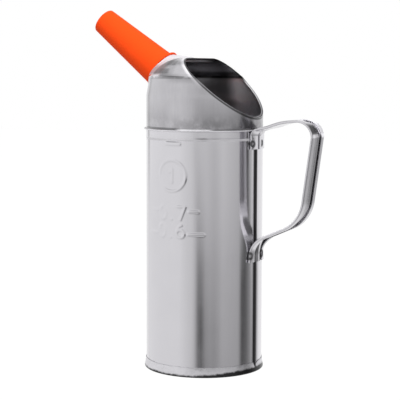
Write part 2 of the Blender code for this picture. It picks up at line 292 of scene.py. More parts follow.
world = bpy.data.worlds.new("light_tent")
bpy.context.scene.world = world
tent = Tree(world)
ray = tent.node("ShaderNodeTexCoord", output="Generated")
sockets = {"Vector": ray, "Angle": tent_turn}
ray = tent.node("ShaderNodeVectorRotate", {"rotation_type": "Z_AXIS"}, sockets)
ahead, aside, rise = tent.split(ray)
bearing = aside.maths("ARCTAN2", ahead) / math.tau + 0.5
level, last_climb = None, None
for climb, pairs in tent_rows.items():
    climb = math.sin(math.radians(climb))
    row = tent.ramp(bearing, *[(degrees / 360 + 0.5, share) for degrees, share in pairs])
    level = row if level is None else tent.blend(tent.between(rise, last_climb, climb), level, row)
    last_climb = climb
matt_ray = tent.node("ShaderNodeLightPath", output="Is Diffuse Ray")
level = tent.blend(matt_ray, level, even_light)
tone = tent.node("ShaderNodeCombineColor", sockets={0: level, 1: level, 2: level})
camera_ray = tent.node("ShaderNodeLightPath", output="Is Camera Ray")
tone = tent.tint(camera_ray, tone, white)
glow = tent.node("ShaderNodeBackground", sockets={"Color": tone, "Strength": 1.0})
tent.node("ShaderNodeOutputWorld", sockets={"Surface": glow})
print("tent of", len(tent_rows), "rows")

# %% [markdown]
# ## Floor and lamp
# The jug stands on a white sheet that runs out of sight. For the camera the sheet is mostly a
# plain glow, just as bright as the white background, so no line shows where they meet, and its
# small matt share keeps a faint shadow under the jug. Metal looks past it into the tent. One
# large soft lamp, high up on the right, lights the top of the spout more than its underside.

# %% Floor and lamp
floor_size = 6.0
floor_glow = 0.88
floor_strength = 1.09
floor_colour = (0.55, 0.55, 0.55, 1)
lamp_size = 0.9
lamp_power = 14.0
lamp_place = Vector((0.55, -0.55, 1.0))
lamp_aim = Vector((0, 0, 0.2))

bpy.ops.object.select_all(action="DESELECT")
bpy.ops.mesh.primitive_plane_add(size=floor_size, location=(0, 0, 0))
floor = bpy.context.object
floor.name = "floor"
paper = bpy.data.materials.new("white_paper")
sheet_tree = Tree(paper)
matt = sheet_tree.node("ShaderNodeBsdfDiffuse", sockets={"Color": floor_colour})
lit = sheet_tree.node("ShaderNodeEmission", sockets={"Color": white, "Strength": floor_strength})
seen = sheet_tree.node("ShaderNodeLightPath", output="Is Camera Ray")
mixed = sheet_tree.node("ShaderNodeMixShader", sockets={0: seen * floor_glow, 1: matt, 2: lit})
sheet_tree.node("ShaderNodeOutputMaterial", sockets={"Surface": mixed})
floor.data.materials.append(paper)
floor.visible_glossy = False
floor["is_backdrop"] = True

light = bpy.data.lights.new("soft_lamp", "AREA")
light.shape = "DISK"
light.size = lamp_size
light.energy = lamp_power
lamp = bpy.data.objects.new("soft_lamp", light)
bpy.context.scene.collection.objects.link(lamp)
lamp.location = lamp_place
lamp.visible_glossy = False
lamp.rotation_euler = (lamp_aim - lamp_place).to_track_quat("-Z", "Y").to_euler()
print("floor", floor_size, "m, lamp", lamp_power, "W")

# %% [markdown]
# ## Helpers for modelling
# Most of the jug is turned: a tinsmith rolls it, and a modeller spins an outline. The outline is
# drawn as a chain of edges, by extruding one vertex from point to point, and is then spun about
# the upright axis. Doubles are merged and the faces are turned outwards before the sheet gets
# its thickness from a Solidify modifier.

# %% Points of an outline
rounding_slack = 1e-6


def arc(centre, radius, start, end, steps):
    """Points of an arc from one angle to another, in degrees, with both ends."""
    angles = [math.radians(start + (end - start) * i / steps) for i in range(steps + 1)]
    return [(centre[0] + radius * math.cos(a), centre[1] + radius * math.sin(a)) for a in angles]


def spread(start, end, widest):
    """Even places from start up to but not including end, no further apart than widest."""
    count = max(1, math.ceil(abs(end - start) / widest - rounding_slack))
    return [start + (end - start) * i / count for i in range(count)]


print("places up to 1, at most 0.3 apart:", spread(0.0, 1.0, 0.3))


# %% Drawing and turning
merge_distance = 0.002 * MM


def start_piece(name):
    """Names the object that was just added, and gives it back."""
    piece = bpy.context.object
    piece.name = name
    piece.data.name = name
    return piece


def work_on(piece):
    bpy.ops.object.select_all(action="DESELECT")
    piece.select_set(True)
    bpy.context.view_layer.objects.active = piece


def draw_outline(name, points):
    """A chain of edges through (radius, height) points, in the XZ plane."""
    bpy.ops.object.select_all(action="DESELECT")
    bpy.ops.mesh.primitive_plane_add(size=MM, location=(0, 0, 0))
    piece = start_piece(name)
    bpy.ops.object.mode_set(mode="EDIT")
    bpy.ops.mesh.select_mode(type="VERT")
    bpy.ops.mesh.select_all(action="SELECT")
    bpy.ops.mesh.merge(type="CENTER")
    bpy.ops.transform.translate(value=(points[0][0], 0, points[0][1]))
    for (x, z), (next_x, next_z) in zip(points, points[1:]):
        step = {"value": (next_x - x, 0, next_z - z)}
        bpy.ops.mesh.extrude_vertices_move(TRANSFORM_OT_translate=step)
    bpy.ops.object.mode_set(mode="OBJECT")
    return piece


def turn_over(piece):
    """Turns all faces of a piece over."""
    work_on(piece)
    bpy.ops.object.mode_set(mode="EDIT")
    bpy.ops.mesh.select_all(action="SELECT")
    bpy.ops.mesh.flip_normals()
    bpy.ops.object.mode_set(mode="OBJECT")


def clean_up(piece):
    """Merges doubles and turns the faces of an open sheet to the outside."""
    work_on(piece)
    bpy.ops.object.mode_set(mode="EDIT")
    bpy.ops.mesh.select_all(action="SELECT")
    bpy.ops.mesh.remove_doubles(threshold=merge_distance)
    bpy.ops.mesh.normals_make_consistent(inside=False)
    bpy.ops.object.mode_set(mode="OBJECT")
    widest = max(piece.data.polygons, key=lambda face: face.center.xy.length)
    if widest.normal.xy.dot(widest.center.xy) < 0:
        turn_over(piece)


def turn_outline(name, points, steps):
    """Spins an outline about the upright axis."""
    piece = draw_outline(name, points)
    work_on(piece)
    bpy.ops.object.mode_set(mode="EDIT")
    bpy.ops.mesh.select_all(action="SELECT")
    bpy.ops.mesh.spin(steps=steps, angle=math.tau, center=(0, 0, 0), axis=(0, 0, 1))
    bpy.ops.object.mode_set(mode="OBJECT")
    clean_up(piece)
    return piece


print("doubles nearer than", round(merge_distance / MM, 4), "mm are merged")

# %% Joining, thickness and finish
crease_angle = math.radians(32)


def join_to(base, piece):
    """Joins a piece to a base, which keeps its name."""
    work_on(base)
    piece.select_set(True)
    bpy.ops.object.join()


def add_thickness(piece, thickness, offset=-1.0, even=True):
    work_on(piece)
    wall = piece.modifiers.new("wall", "SOLIDIFY")
    wall.thickness = thickness
    wall.offset = offset
    wall.use_even_offset = even
    wall.use_quality_normals = True
    bpy.ops.object.modifier_apply(modifier="wall")


def finish_piece(piece, material, body, node):
    """Shades a piece, gives it its finish and says what it stands for."""
    work_on(piece)
    bpy.ops.object.shade_smooth_by_angle(angle=crease_angle)
    piece.data.materials.clear()
    piece.data.materials.append(material)
    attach(piece, body)
    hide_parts(node)
    low, high = Vector((1, 1, 1)), Vector((-1, -1, -1))
    for vertex in piece.data.vertices:
        low = Vector(map(min, low, vertex.co))
        high = Vector(map(max, high, vertex.co))
    cad_low, cad_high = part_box(node)
    over = max(max(cad_low - low), max(high - cad_high))
    triangles = sum(len(face.vertices) - 2 for face in piece.data.polygons)
    print(piece.name, triangles, "triangles, past the CAD box by", round(over / MM, 2), "mm")


print("edges sharper than", round(math.degrees(crease_angle)), "degrees stay sharp")

# %% [markdown]
# ## Tinplate
# Tinplate is steel sheet dipped in tin. It is bright but never a mirror: rolling leaves fine
# streaks along the sheet, which stand upright on a rolled body, and handling leaves faint clouds.
# A scratched picture could be laid over it. Noise in the jug's own coordinates does the same
# without a seam: stretched noise for the streaks, soft noise for the clouds.

# %% Tinplate finish
streak_stretch = (1.0, 1.0, 0.035)
streak_grain = (900.0, 4.0, 0.6)
cloud_grain = (45.0, 4.0, 0.55)
speck_grain = (1500.0, 2.0, 0.6)
cloud_gloss = 0.10
streak_gloss = 0.06
speck_gloss = 0.05
tin_green = 0.985
tin_blue = 1.03


def vary(base, *grains):
    """A value that swings about its base with each (grain, swing)."""
    for grain, swing in grains:
        base = (grain - 0.5) * swing + base
    return base


def tinplate(name, tone, roughness, clouds, streaks):
    """A metal's tree with its tone, gloss and relief; clouds and streaks are swings of its tone."""
    material = bpy.data.materials.new(name)
    tree = Tree(material)
    upright = tree.grain(tree.place(stretch=streak_stretch), *streak_grain)
    cloudy = tree.grain(tree.place(), *cloud_grain)
    specks = tree.grain(tree.place(), *speck_grain)
    value = vary(tone, (cloudy, clouds), (upright, streaks))
    gloss = vary(roughness, (cloudy, cloud_gloss), (upright, streak_gloss), (specks, speck_gloss))
    return material, tree, value, gloss, (upright + specks) / 2


def metal(tree, value, gloss, height, bump, share=1.0):
    """Ends a metal's tree: a slightly cool grey of the given value and metallic share."""
    sockets = {0: value, 1: value * tin_green, 2: value * tin_blue}
    colour = tree.node("ShaderNodeCombineColor", sockets=sockets)
    sockets = {"Strength": 1.0, "Distance": bump, "Height": height}
    normal = tree.node("ShaderNodeBump", sockets=sockets)
    sockets = {"Base Color": colour, "Metallic": share, "Roughness": gloss, "Normal": normal}
    surface = tree.node("ShaderNodeBsdfPrincipled", sockets=sockets)
    tree.node("ShaderNodeOutputMaterial", sockets={"Surface": surface})


print("tinplate: streaks of scale", streak_grain[0], "and clouds of scale", cloud_grain[0])

# %% [markdown]
# ## The body
# The body is a sheet rolled to a cylinder, with its lock seam under the handle and a slight bell
# at the top where it grips the hood. Its marks are struck from inside: a bar at the one-litre
# level, a ring with the number 1, and two more levels. A Boolean would leave hard edges, and a
# bump would vanish at a glancing view. So the wall is spun with many rows where the marks are,
# its columns are slid together there and at the seam, and each point is pressed out by its
# distance to the nearest stroke. Its finish is plain tinplate with a darkened seam, whose step
# gets painted shade, and a painted reflection along the step of the bell, lighter towards the left.
# A faint oval spot lies beside it.

# %% Body sizes
sheet = 0.5 * MM
play = 0.3 * MM
body_low, body_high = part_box("body_shell")
body_top = body_high.z
bell_rise = 0.25 * MM
bell_depth = 5.4 * MM
bell_slope = 1.1 * MM
body_radius = -body_low.x - bell_rise
bell_bottom = body_top - bell_depth
bell_start = bell_bottom - bell_slope
seam_left = -5.1 * MM
seam_right = -0.5 * MM
seam_rise = 0.8 * MM
print("body radius", round(body_radius / MM, 2), "mm, top", round(body_top / MM, 2), "mm")

# %% Body finish
body_tone = 0.70
body_bump = 0.003 * MM
seam_and_step_shade_tones = (0.06, 0.12)
seam_swing = 0.3
seam_gloss = 0.34
spot_bearing = math.radians(62.3)
spot_height = 175.3 * MM
spot_size = Vector((2.6, 1.3)) * MM
spot_dark = 0.12
bell_reflection_tones = (0.45, 0.59)
bell_reflection_cover = 0.6
bell_reflection_plain = 0.55
front_turn = math.radians(28.0)


def along_front(across, over):
    """A place along the level line from the front's left edge to its right one."""
    return across * math.cos(front_turn) + over * math.sin(front_turn)


body_finish, tree, value, gloss, height = tinplate(
    "rolled_tinplate", tone=body_tone, roughness=0.13, clouds=0.05, streaks=0.03)
across, over, up = tree.split(tree.place())
from_left = over - seam_left
from_right = over - seam_right
on_seam = tree.mark((from_left, 0, 0.2), (from_right, 0, -0.2), (across, 0, 1))
# The seam is darker than the sheet. It is darkest along its step on the left, and that extra dark is
# painted shade.
seam_and_step_shade_tone = tree.blend(tree.mark((from_left, 1.6, 3.4)), *seam_and_step_shade_tones)
value = tree.blend(on_seam, value, seam_and_step_shade_tone + (value - body_tone) * seam_swing)
gloss = tree.blend(on_seam, gloss, seam_gloss)
_, spot_over, _ = tree.split(tree.place(turn=spot_bearing))
wide = spot_over / spot_size.x
high = (up - spot_height) / spot_size.y
oval = tree.between(wide.maths("POWER", 2.0) + high.maths("POWER", 2.0), 1.6, 0.4)
value = value - oval * tree.mark((over, 0, -20)) * spot_dark
# A painted reflection along the slope of the bell: a duller band, lighter towards the left of the front.
bell_reflection_line = tree.line(up - (bell_start + bell_bottom) / 2, 0, 1.1, 0.6) * (1 - on_seam)
bell_reflection_tone = tree.blend(tree.mark((along_front(across, over), -8, -28)), *bell_reflection_tones)
value = tree.blend(bell_reflection_line * bell_reflection_cover, value, bell_reflection_tone)
metal(tree, value, gloss, height, body_bump, tree.without((bell_reflection_line, bell_reflection_plain)))
print("body finish", body_finish.name)

# %% Columns and rows
marks_bearing = math.radians(-96)
marks_half_angle = math.radians(35)
mark_column = math.radians(0.72)
seam_column = math.radians(0.3)
seam_half_angle = math.radians(7.0)
wide_column = math.radians(2.6)
column_growth = 0.1
low_marks = (101.5 * MM, 128 * MM)
ring_marks = (135 * MM, 160.5 * MM)
bar_foot = 170 * MM
plain_row = 3.5 * MM
mark_row = 0.55 * MM
gap_row = 1.4 * MM
bar_row = 0.45 * MM
bell_row = 1.8 * MM
bell_curve = ((0, 1), (0.3, 0.66), (0.85, 0.2))


def column_width(angle):
    """How wide a column is at an angle: narrow over the marks and the seam."""
    from_seam = abs((angle + math.pi) % math.tau - math.pi)
    from_marks = abs((angle - marks_bearing + math.pi) % math.tau - math.pi)
    near_seam = seam_column + max(from_seam - seam_half_angle, 0) * column_growth
    near_marks = mark_column + max(from_marks - marks_half_angle, 0) * column_growth
    return min(near_seam, near_marks, wide_column)


def column_angles():
    angles = [0.0]
    while angles[-1] < math.tau:
        angles.append(angles[-1] + column_width(angles[-1]))
    share = math.tau / angles.pop()
    if share > 1:
        angles.pop()
    return [angle * share for angle in angles]


angles = column_angles()
wall_foot = body_low.z
limits = (wall_foot, *low_marks, *ring_marks, bar_foot, bell_start)
rows = (plain_row, mark_row, gap_row, mark_row, gap_row, bar_row)
points = []
for start, end, widest in zip(limits, limits[1:], rows):
    points += [(body_radius, z) for z in spread(start, end, widest)]
for out, down in bell_curve:
    points.append((body_radius + bell_rise * out, bell_bottom - bell_slope * down))
points += [(body_radius + bell_rise, z) for z in spread(bell_bottom, body_top, bell_row)]
points += [(body_radius + bell_rise, body_top)]
print(len(angles), "columns and", len(points), "rows")

# %% The strokes of the marks
stroke_half = 0.55 * MM
stroke_shoulder = 0.75 * MM
mark_rise = 0.38 * MM
ring_centre = (math.radians(-95.2) * body_radius, 148.6 * MM)
ring_radius = 11.4 * MM
bar_centre = (math.radians(-94) * body_radius, 172.0 * MM)
bar_half = 5.5 * MM
bar_half_height = 0.95 * MM
digit_width = 6.2 * MM
digit_height = 9.6 * MM
digit_pitch = digit_width * 1.28
digit_shift = 0.5 * MM
bar_gap = 14 * MM


def loop_points(centre, width, height, start, end, steps):
    """Points on an oval from one angle to another, in degrees."""
    turns = [math.radians(start + (end - start) * i / steps) for i in range(steps + 1)]
    return [(centre[0] + width / 2 * math.cos(a), centre[1] + height / 2 * math.sin(a)) for a in turns]


def digit(sign, middle, foot):
    """The strokes of a digit as chains of points, from its middle and its foot."""
    w, h = digit_width, digit_height
    if sign == "0":
        return [loop_points((middle, foot + h / 2), w, h, 0, 360, 20)]
    if sign == "1":
        return [[(middle - 0.3 * w, foot + 0.78 * h), (middle, foot + h), (middle, foot)]]
    if sign == "7":
        return [[(middle - w / 2, foot + h), (middle + w / 2, foot + h), (middle - 0.1 * w, foot)]]
    if sign == "6":
        bowl = loop_points((middle, foot + 0.3 * h), w, 0.6 * h, 180, -180, 18)
        back = loop_points((middle + 0.5 * w, foot + 0.3 * h), 2 * w, 1.4 * h, 110, 180, 8)
        return [back + bowl]
    return [[(middle, foot), (middle, foot)]]


def level_row(text, bearing, foot, bar_level, half_width):
    """A number with a level bar on either side of it."""
    middle = math.radians(bearing) * body_radius
    chains = []
    for i, sign in enumerate(text):
        chains += digit(sign, middle + (i - (len(text) - 1) / 2) * digit_pitch, foot)
    for side in (-1, 1):
        chains.append([(middle + side * bar_gap, bar_level), (middle + side * half_width, bar_level)])
    return chains


chains = digit("1", ring_centre[0] + digit_shift, ring_centre[1] - digit_height / 2)
chains.append(loop_points(ring_centre, 2 * ring_radius, 2 * ring_radius, 0, 360, 48))
chains += level_row("0.7", -95, foot=116.6 * MM, bar_level=122.7 * MM, half_width=20.5 * MM)
chains += level_row("0.6", -96, foot=103.4 * MM, bar_level=105.9 * MM, half_width=25.5 * MM)
print(len(chains), "strokes")

# %% Pressing
seam_step = 0.3 * MM
seam_fold = 0.5 * MM
seam_fade = 0.6 * MM
seam_foot_share = 0.35
seam_ramp_share = 0.8
gutter_depth = 0.2 * MM
smallest_length = 1e-18


def distance_to_chain(places, chain):
    """How far each place is from a chain of straight stretches."""
    nearest = np.full(len(places), np.inf)
    for start, end in zip(chain, chain[1:]):
        start, along = np.array(start), np.subtract(end, start)
        length = max(float(along @ along), smallest_length)
        share = np.clip((places - start) @ along / length, 0, 1)
        gap = np.linalg.norm(places - start - share[:, None] * along, axis=1)
        nearest = np.minimum(nearest, gap)
    return nearest


def soft_step(values):
    values = np.clip(values, 0, 1)
    return values * values * (3 - 2 * values)


def mark_heights(places):
    """How far out the wall is pressed at each (along, up) place."""
    nearest = np.full(len(places), np.inf)
    for chain in chains:
        nearest = np.minimum(nearest, distance_to_chain(places, chain))
    rise = soft_step((stroke_half + stroke_shoulder - nearest) / stroke_shoulder)
    bar = [(bar_centre[0] - bar_half, bar_centre[1]), (bar_centre[0] + bar_half, bar_centre[1])]
    gap = distance_to_chain(places, bar)
    rise = np.maximum(rise, soft_step((bar_half_height + stroke_shoulder - gap) / stroke_shoulder))
    return rise * mark_rise


def seam_heights(along, up):
    """The lock seam: a sharp step on its left, a ramp, and a fold back on its right."""
    ramp = soft_step((along - seam_left) / (seam_ramp_share * (seam_right - seam_left)))
    ramp = seam_foot_share + (1 - seam_foot_share) * ramp
    left = soft_step((along - seam_left) / seam_step)
    right = soft_step((seam_right - along) / seam_fold)
    gutter = np.exp(-(((along - seam_left) / seam_step + 1) ** 2))
    length = soft_step((bell_start - up) / seam_fade)
    return length * (seam_rise * ramp * left * right - gutter_depth * gutter)


print("marks pressed", round(mark_rise / MM, 2), "mm, seam", round(seam_rise / MM, 2), "mm")

# %% Body wall
wave_height = 0.035 * MM
wave_length = 70 * MM
wave_turns = 1.6
calm_foot = 12 * MM
calm_top = 8 * MM

body = turn_outline("body_wall", points, len(angles))
flat = np.empty(len(body.data.vertices) * 3)
body.data.vertices.foreach_get("co", flat)
x, y, z = flat.reshape(-1, 3).T
radius = np.hypot(x, y)
column = np.round((np.arctan2(y, x) % math.tau) / math.tau * len(angles)).astype(int) % len(angles)
angle = np.array(angles)[column]
angle = (angle + math.pi) % math.tau - math.pi
along = angle * body_radius
rise = mark_heights(np.stack([along, z], axis=1)) + seam_heights(along, z)
waves = []
for turn, level in zip(angle, z):
    spot = Vector((math.cos(turn) * wave_turns, math.sin(turn) * wave_turns, level / wave_length))
    waves.append(noise.noise(spot))
calm = soft_step((z - wall_foot) / calm_foot) * soft_step((bell_bottom - z) / calm_top)
radius += rise + np.array(waves) * wave_height * calm
flat = np.stack([radius * np.cos(angle), radius * np.sin(angle), z], axis=1).ravel()
body.data.vertices.foreach_set("co", flat)
body.data.update()
add_thickness(body, sheet)
finish_piece(body, body_finish, "jug", "body_shell")

# %% [markdown]
# ## The bottom pan
# The pan closes the body from below: a raised floor whose rim folds round the wall's lower edge
# and is soldered to it. A tinsmith wires it in a jenny; here its outline is spun like the body.
# Solder makes the rim lumpy, so the points of the rim's outer face are moved in and out by noise,
# and a notch is left where the rim crosses the lock seam. Its foot is darkened with painted shade,
# which reaches higher up under the handle than elsewhere.

# %% Solder finish
lump_grain = (260.0, 5.0, 0.65)
solder_bump = 0.10 * MM
foot_shade_height = 2.3 * MM
foot_shade_growth = 2.0 * MM
foot_shade_ragged = 3.0 * MM
foot_shade_fade = 1.2 * MM
foot_shade_share = 0.06
lump_tone = 0.22
lump_gloss = 0.2

pan_finish, tree, value, gloss, _ = tinplate(
    "lumpy_solder", tone=0.72, roughness=0.30, clouds=0.16, streaks=0.05)
across, _, up = tree.split(tree.place())
lumps = tree.grain(tree.place(), *lump_grain)
# The foot is darkened with painted shade, which reaches higher on the handle's side.
foot_shade_top = vary(tree.mark((across, 12, 45)) * foot_shade_growth + foot_shade_height, (lumps, foot_shade_ragged))
above_foot_shade = (up - foot_shade_top) / foot_shade_fade + 1.0
value = vary(value, (lumps, lump_tone)) * tree.blend(above_foot_shade, foot_shade_share, 1.0)
metal(tree, value, vary(gloss, (lumps, lump_gloss)), lumps, solder_bump)
print("solder dark up to", round(foot_shade_height / MM, 1), "mm")

# %% Bottom pan
_, pan_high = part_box("bottom_pan")
rim_height = pan_high.z
floor_height = 4.5 * MM
rim_gap = 0.45 * MM
rim_top_radius = body_radius + rim_gap
rim_flare = 1.9
rim_foot_radius = pan_high.x
rim_bend = 0.9 * MM
rim_row = 0.09
floor_bend = 1.2 * MM
hook_radius = body_radius - 2 * sheet - play
edge_hook = Vector((0.25, 0.1)) * MM
lump_height = 0.11 * MM
lump_scale = 190
lump_squash = 1.5
lump_level = 0.4
fine_lump_scale = 520
fine_lump_share = 0.45
lumpy_foot = 0.5 * MM
ragged_foot = 4.5 * MM
ragged_height = 0.35 * MM
notch_width = 2.2 * MM
notch_depth = 1.3 * MM
pan_sheet = sheet * 0.6
pan_columns = 300
floor_shares = (0.8, 0.55, 0.3, 0.1, 0)


def clamp(share):
    return min(max(share, 0), 1)


points = [(rim_top_radius - edge_hook.x, rim_height - edge_hook.y), (rim_top_radius, rim_height)]
for share in spread(0.0, 1.0, rim_row)[1:]:
    flare = (rim_foot_radius - rim_top_radius) * share**rim_flare
    points.append((rim_top_radius + flare, rim_height + (rim_bend - rim_height) * share))
points += arc((rim_foot_radius - rim_bend, rim_bend), rim_bend, 0, -90, 6)
points += arc((hook_radius + rim_bend, rim_bend), rim_bend, -90, -180, 6)
points += arc((hook_radius - floor_bend, floor_height - floor_bend), floor_bend, 0, 90, 5)
points += [(hook_radius * share, floor_height) for share in floor_shares]
pan = turn_outline("pan_floor", points, pan_columns)
for vertex in pan.data.vertices:
    spot = vertex.co
    if spot.xy.length < body_radius or spot.z < lumpy_foot:
        continue
    out = Vector((spot.x, spot.y, 0)).normalized()
    coarse = noise.noise(Vector((spot.x, spot.y, spot.z * lump_squash)) * lump_scale)
    fine = noise.noise(spot * fine_lump_scale)
    notch = math.exp(-((spot.y / notch_width) ** 2)) if spot.x > 0 else 0.0
    top = clamp((spot.z - ragged_foot) / (rim_height - ragged_foot))
    vertex.co = spot + out * lump_height * (coarse + fine_lump_share * fine - lump_level)
    vertex.co.z += (ragged_height * coarse - notch_depth * notch) * top
add_thickness(pan, pan_sheet)
finish_piece(pan, pan_finish, "jug", "bottom_pan")

# %% [markdown]
# ## The hood
# The hood is drawn from sheet, upside down, like a cup: a straight wall, a wall that leans in to
# a soft crease, and a round shoulder up to a flat top. It is then cut on a slant for the mouth.
# The outline is spun, and a Bisect takes the mouth away. The neck for the spout grows smoothly
# out of the shoulder. A Boolean would leave a sharp ring there, so a round hole is cut about
# the spout's axis, and a patch of rings fills it: each point of a ring stands on whichever is
# higher, the shoulder or the neck's own slope, with the two rounded into each other.

# %% Hood sizes
spout_joint = frame["joints"][0]
spout_axis = Vector(spout_joint["axis"]).normalized()
spout_tilt = math.asin(spout_axis.z)
bead_reach = 1.9 * MM
bead_thickness = 1.4 * MM
skirt_depth = 5.0 * MM
wall_height = 24.0 * MM
lean_height = 14.0 * MM
lean_inset = 1.7 * MM
lean_curve = 1.3
lean_rows = 8
top_shares = (0, 0.3, 0.55, 0.75, 0.9)
wall_row = 2.0 * MM
wall_gap = 0.5 * MM
bead_fillet = 0.4 * MM
dome_radius = 24.2 * MM
dome_start = 25.0
mouth_drop = 3.2 * MM
mouth_foot = 8.1 * MM
mouth_twist = 0.015
mouth_bead = 0.8 * MM
spout_axis_lift = 2.13 * MM
neck_sink = 2.4 * MM
plug_radius = 14.3 * MM

skirt_radius = body_radius + bell_rise - sheet - play
bead_foot = body_top + play
bead_top = bead_foot + bead_thickness
crease_height = bead_top + wall_height + lean_height
crease_radius = body_radius - lean_inset
dome_centre = Vector((
    crease_radius - dome_radius * math.cos(math.radians(dome_start)),
    crease_height - dome_radius * math.sin(math.radians(dome_start)),
))
hood_top = dome_centre.y + dome_radius
mouth_height = hood_top - mouth_drop
mouth_tilt = math.atan((mouth_height - bead_top - mouth_foot) / body_radius)
mouth_normal = Vector((math.sin(mouth_tilt), mouth_twist, math.cos(mouth_tilt))).normalized()
axis_climb = spout_axis_lift - dome_centre.x * math.sin(spout_tilt)
spout_root = Vector((0, 0, dome_centre.y + axis_climb / math.cos(spout_tilt)))
flat_axis = Vector((math.cos(spout_tilt), math.sin(spout_tilt)))
from_root = Vector((dome_centre.x, dome_centre.y - spout_root.z))
middle = from_root.dot(flat_axis)
off_axis = (from_root - flat_axis * middle).length
seat = middle + math.sqrt(dome_radius**2 - off_axis**2) - neck_sink
print("hood top", round(hood_top / MM, 2), "neck face", round(seat / MM, 2), "mm along the axis")

# %% Hood outline
hood_line = [(dome_centre.x * share, hood_top) for share in top_shares]
hood_line += arc(dome_centre, dome_radius, 90, dome_start, 26)
lean_foot = crease_height - lean_height
for share in spread(0.0, 1.0, 1 / lean_rows)[1:]:
    inset = lean_inset * math.cos(share * math.pi / 2) ** lean_curve
    hood_line.append((body_radius - inset, crease_height - lean_height * share))
hood_line += [(body_radius, z) for z in spread(lean_foot, bead_top + wall_gap, wall_row)]
hood_line += arc((body_radius + bead_fillet, bead_top + bead_fillet), bead_fillet, 180, 270, 3)
bead_half = bead_thickness / 2
bead_centre = (body_radius + bead_reach - bead_half, bead_foot + bead_half)
hood_line += arc(bead_centre, bead_half, 90, -90, 8)
hood_line += [(skirt_radius, bead_foot), (skirt_radius, bead_foot - skirt_depth)]
wall_line = [point for point in reversed(hood_line) if point[1] > bead_top + bead_fillet]


def hood_radius(height):
    """The hood's outer radius at a height, read along its outline above the bead."""
    if height >= hood_top:
        return 0.0
    if height >= crease_height:
        return dome_centre.x + math.sqrt(max(dome_radius**2 - (height - dome_centre.y) ** 2, 0))
    for (near_radius, near), (far_radius, far) in zip(wall_line, wall_line[1:]):
        if near <= height <= far and far > near:
            return near_radius + (far_radius - near_radius) * (height - near) / (far - near)
    return body_radius


print("hood outline of", len(hood_line), "points")

# %% Hood wall, mouth and hole for the neck
hole_radius = 23.4 * MM
hole_depth = 40 * MM
hole_slack = 0.03 * MM
cut_merge = 0.12 * MM
neck_columns = 144
hood_columns = 200

hood = turn_outline("hood_shell", hood_line, hood_columns)
work_on(hood)
bpy.ops.object.mode_set(mode="EDIT")
bpy.ops.mesh.select_all(action="SELECT")
bpy.ops.mesh.bisect(plane_co=(0, 0, mouth_height), plane_no=mouth_normal, clear_outer=True)
bpy.ops.mesh.remove_doubles(threshold=cut_merge)
bpy.ops.mesh.select_all(action="DESELECT")
bpy.ops.mesh.primitive_cylinder_add(
    vertices=neck_columns,
    radius=hole_radius,
    depth=hole_depth,
    end_fill_type="NOTHING",
    location=spout_root + spout_axis * seat,
    rotation=spout_axis.to_track_quat("Z", "Y").to_euler(),
)
bpy.ops.mesh.intersect(mode="SELECT_UNSELECT", separate_mode="NONE", solver="EXACT")
bpy.ops.mesh.select_mode(type="FACE")
bpy.ops.object.mode_set(mode="OBJECT")


def beside_axis(place):
    """How far a place is along the spout's axis and how far beside it."""
    offset = Vector(place) - spout_root
    ahead = offset.dot(spout_axis)
    return ahead, (offset - spout_axis * ahead).length


for face in hood.data.polygons:
    ahead, aside = beside_axis(face.center)
    face.select = ahead > 0 and aside < hole_radius + hole_slack
bpy.ops.object.mode_set(mode="EDIT")
bpy.ops.mesh.delete(type="FACE")
bpy.ops.object.mode_set(mode="OBJECT")
print("hood after the cuts:", len(hood.data.polygons), "faces")

# %% Neck patch
neck_radius = 15.9 * MM
neck_rounding = 1.2 * MM
neck_slope = 1.7
neck_blend = 0.8 * MM
patch_radius = 23.1 * MM
patch_rings = 22
ring_growth = 1.3
bridge_slack = 0.1 * MM

side_up = Vector((spout_axis.z, 0, -spout_axis.x))
side_across = spout_axis.cross(side_up)
nearest_shoulder = 15 * MM
farthest_shoulder = 75 * MM
halvings = 30


def shoulder_reach(aside, angle):
    """How far along the spout's axis the plain hood lies, beside the axis at an angle."""
    spot = spout_root + side_up * aside * math.cos(angle) + side_across * aside * math.sin(angle)
    inside, outside = nearest_shoulder, farthest_shoulder
    for _ in range(halvings):
        middle = (inside + outside) / 2
        tried = spot + spout_axis * middle
        if tried.xy.length < hood_radius(tried.z):
            inside = middle
        else:
            outside = middle
    return inside


def soft_maximum(first, second, blend):
    share = clamp(0.5 + (first - second) / (2 * blend))
    return second + (first - second) * share + blend * share * (1 - share)


def neck_reach(aside, angle):
    slope = seat - neck_rounding - (aside - neck_radius) * neck_slope
    plain = shoulder_reach(aside, angle)
    return soft_maximum(plain, slope, neck_blend) if slope > plain - neck_blend else plain


lip_turns = [math.radians(turn) for turn in (0, 22, 45, 68)]
lip = [(neck_radius - neck_rounding * (1 - math.sin(turn)), math.cos(turn)) for turn in lip_turns]
run = [i / patch_rings for i in range(patch_rings + 1)]
flank = [neck_radius + (patch_radius - neck_radius) * share**ring_growth for share in run]
last_ring = len(lip) + len(flank) - 1
bpy.ops.object.select_all(action="DESELECT")
bpy.ops.mesh.primitive_grid_add(x_subdivisions=neck_columns, y_subdivisions=last_ring, size=1)
patch = start_piece("neck_patch")
for vertex in patch.data.vertices:
    column = round((vertex.co.x + 0.5) * neck_columns)
    ring = round((vertex.co.y + 0.5) * last_ring)
    angle = math.tau * column / neck_columns
    if ring < len(lip):
        aside, share = lip[ring]
        ahead = neck_reach(neck_radius, angle) + neck_rounding * share
    else:
        aside = flank[ring - len(lip)]
        ahead = neck_reach(aside, angle)
    spot = side_up * math.cos(angle) + side_across * math.sin(angle)
    vertex.co = spout_root + spout_axis * ahead + spot * aside
compass = [math.radians(turn) for turn in range(0, 360, 30)]
stands = [neck_reach(neck_radius, turn) - shoulder_reach(neck_radius, turn) for turn in compass]
print("neck stands out by", [round(stand / MM, 2) for stand in stands], "mm round its edge")
clean_up(patch)

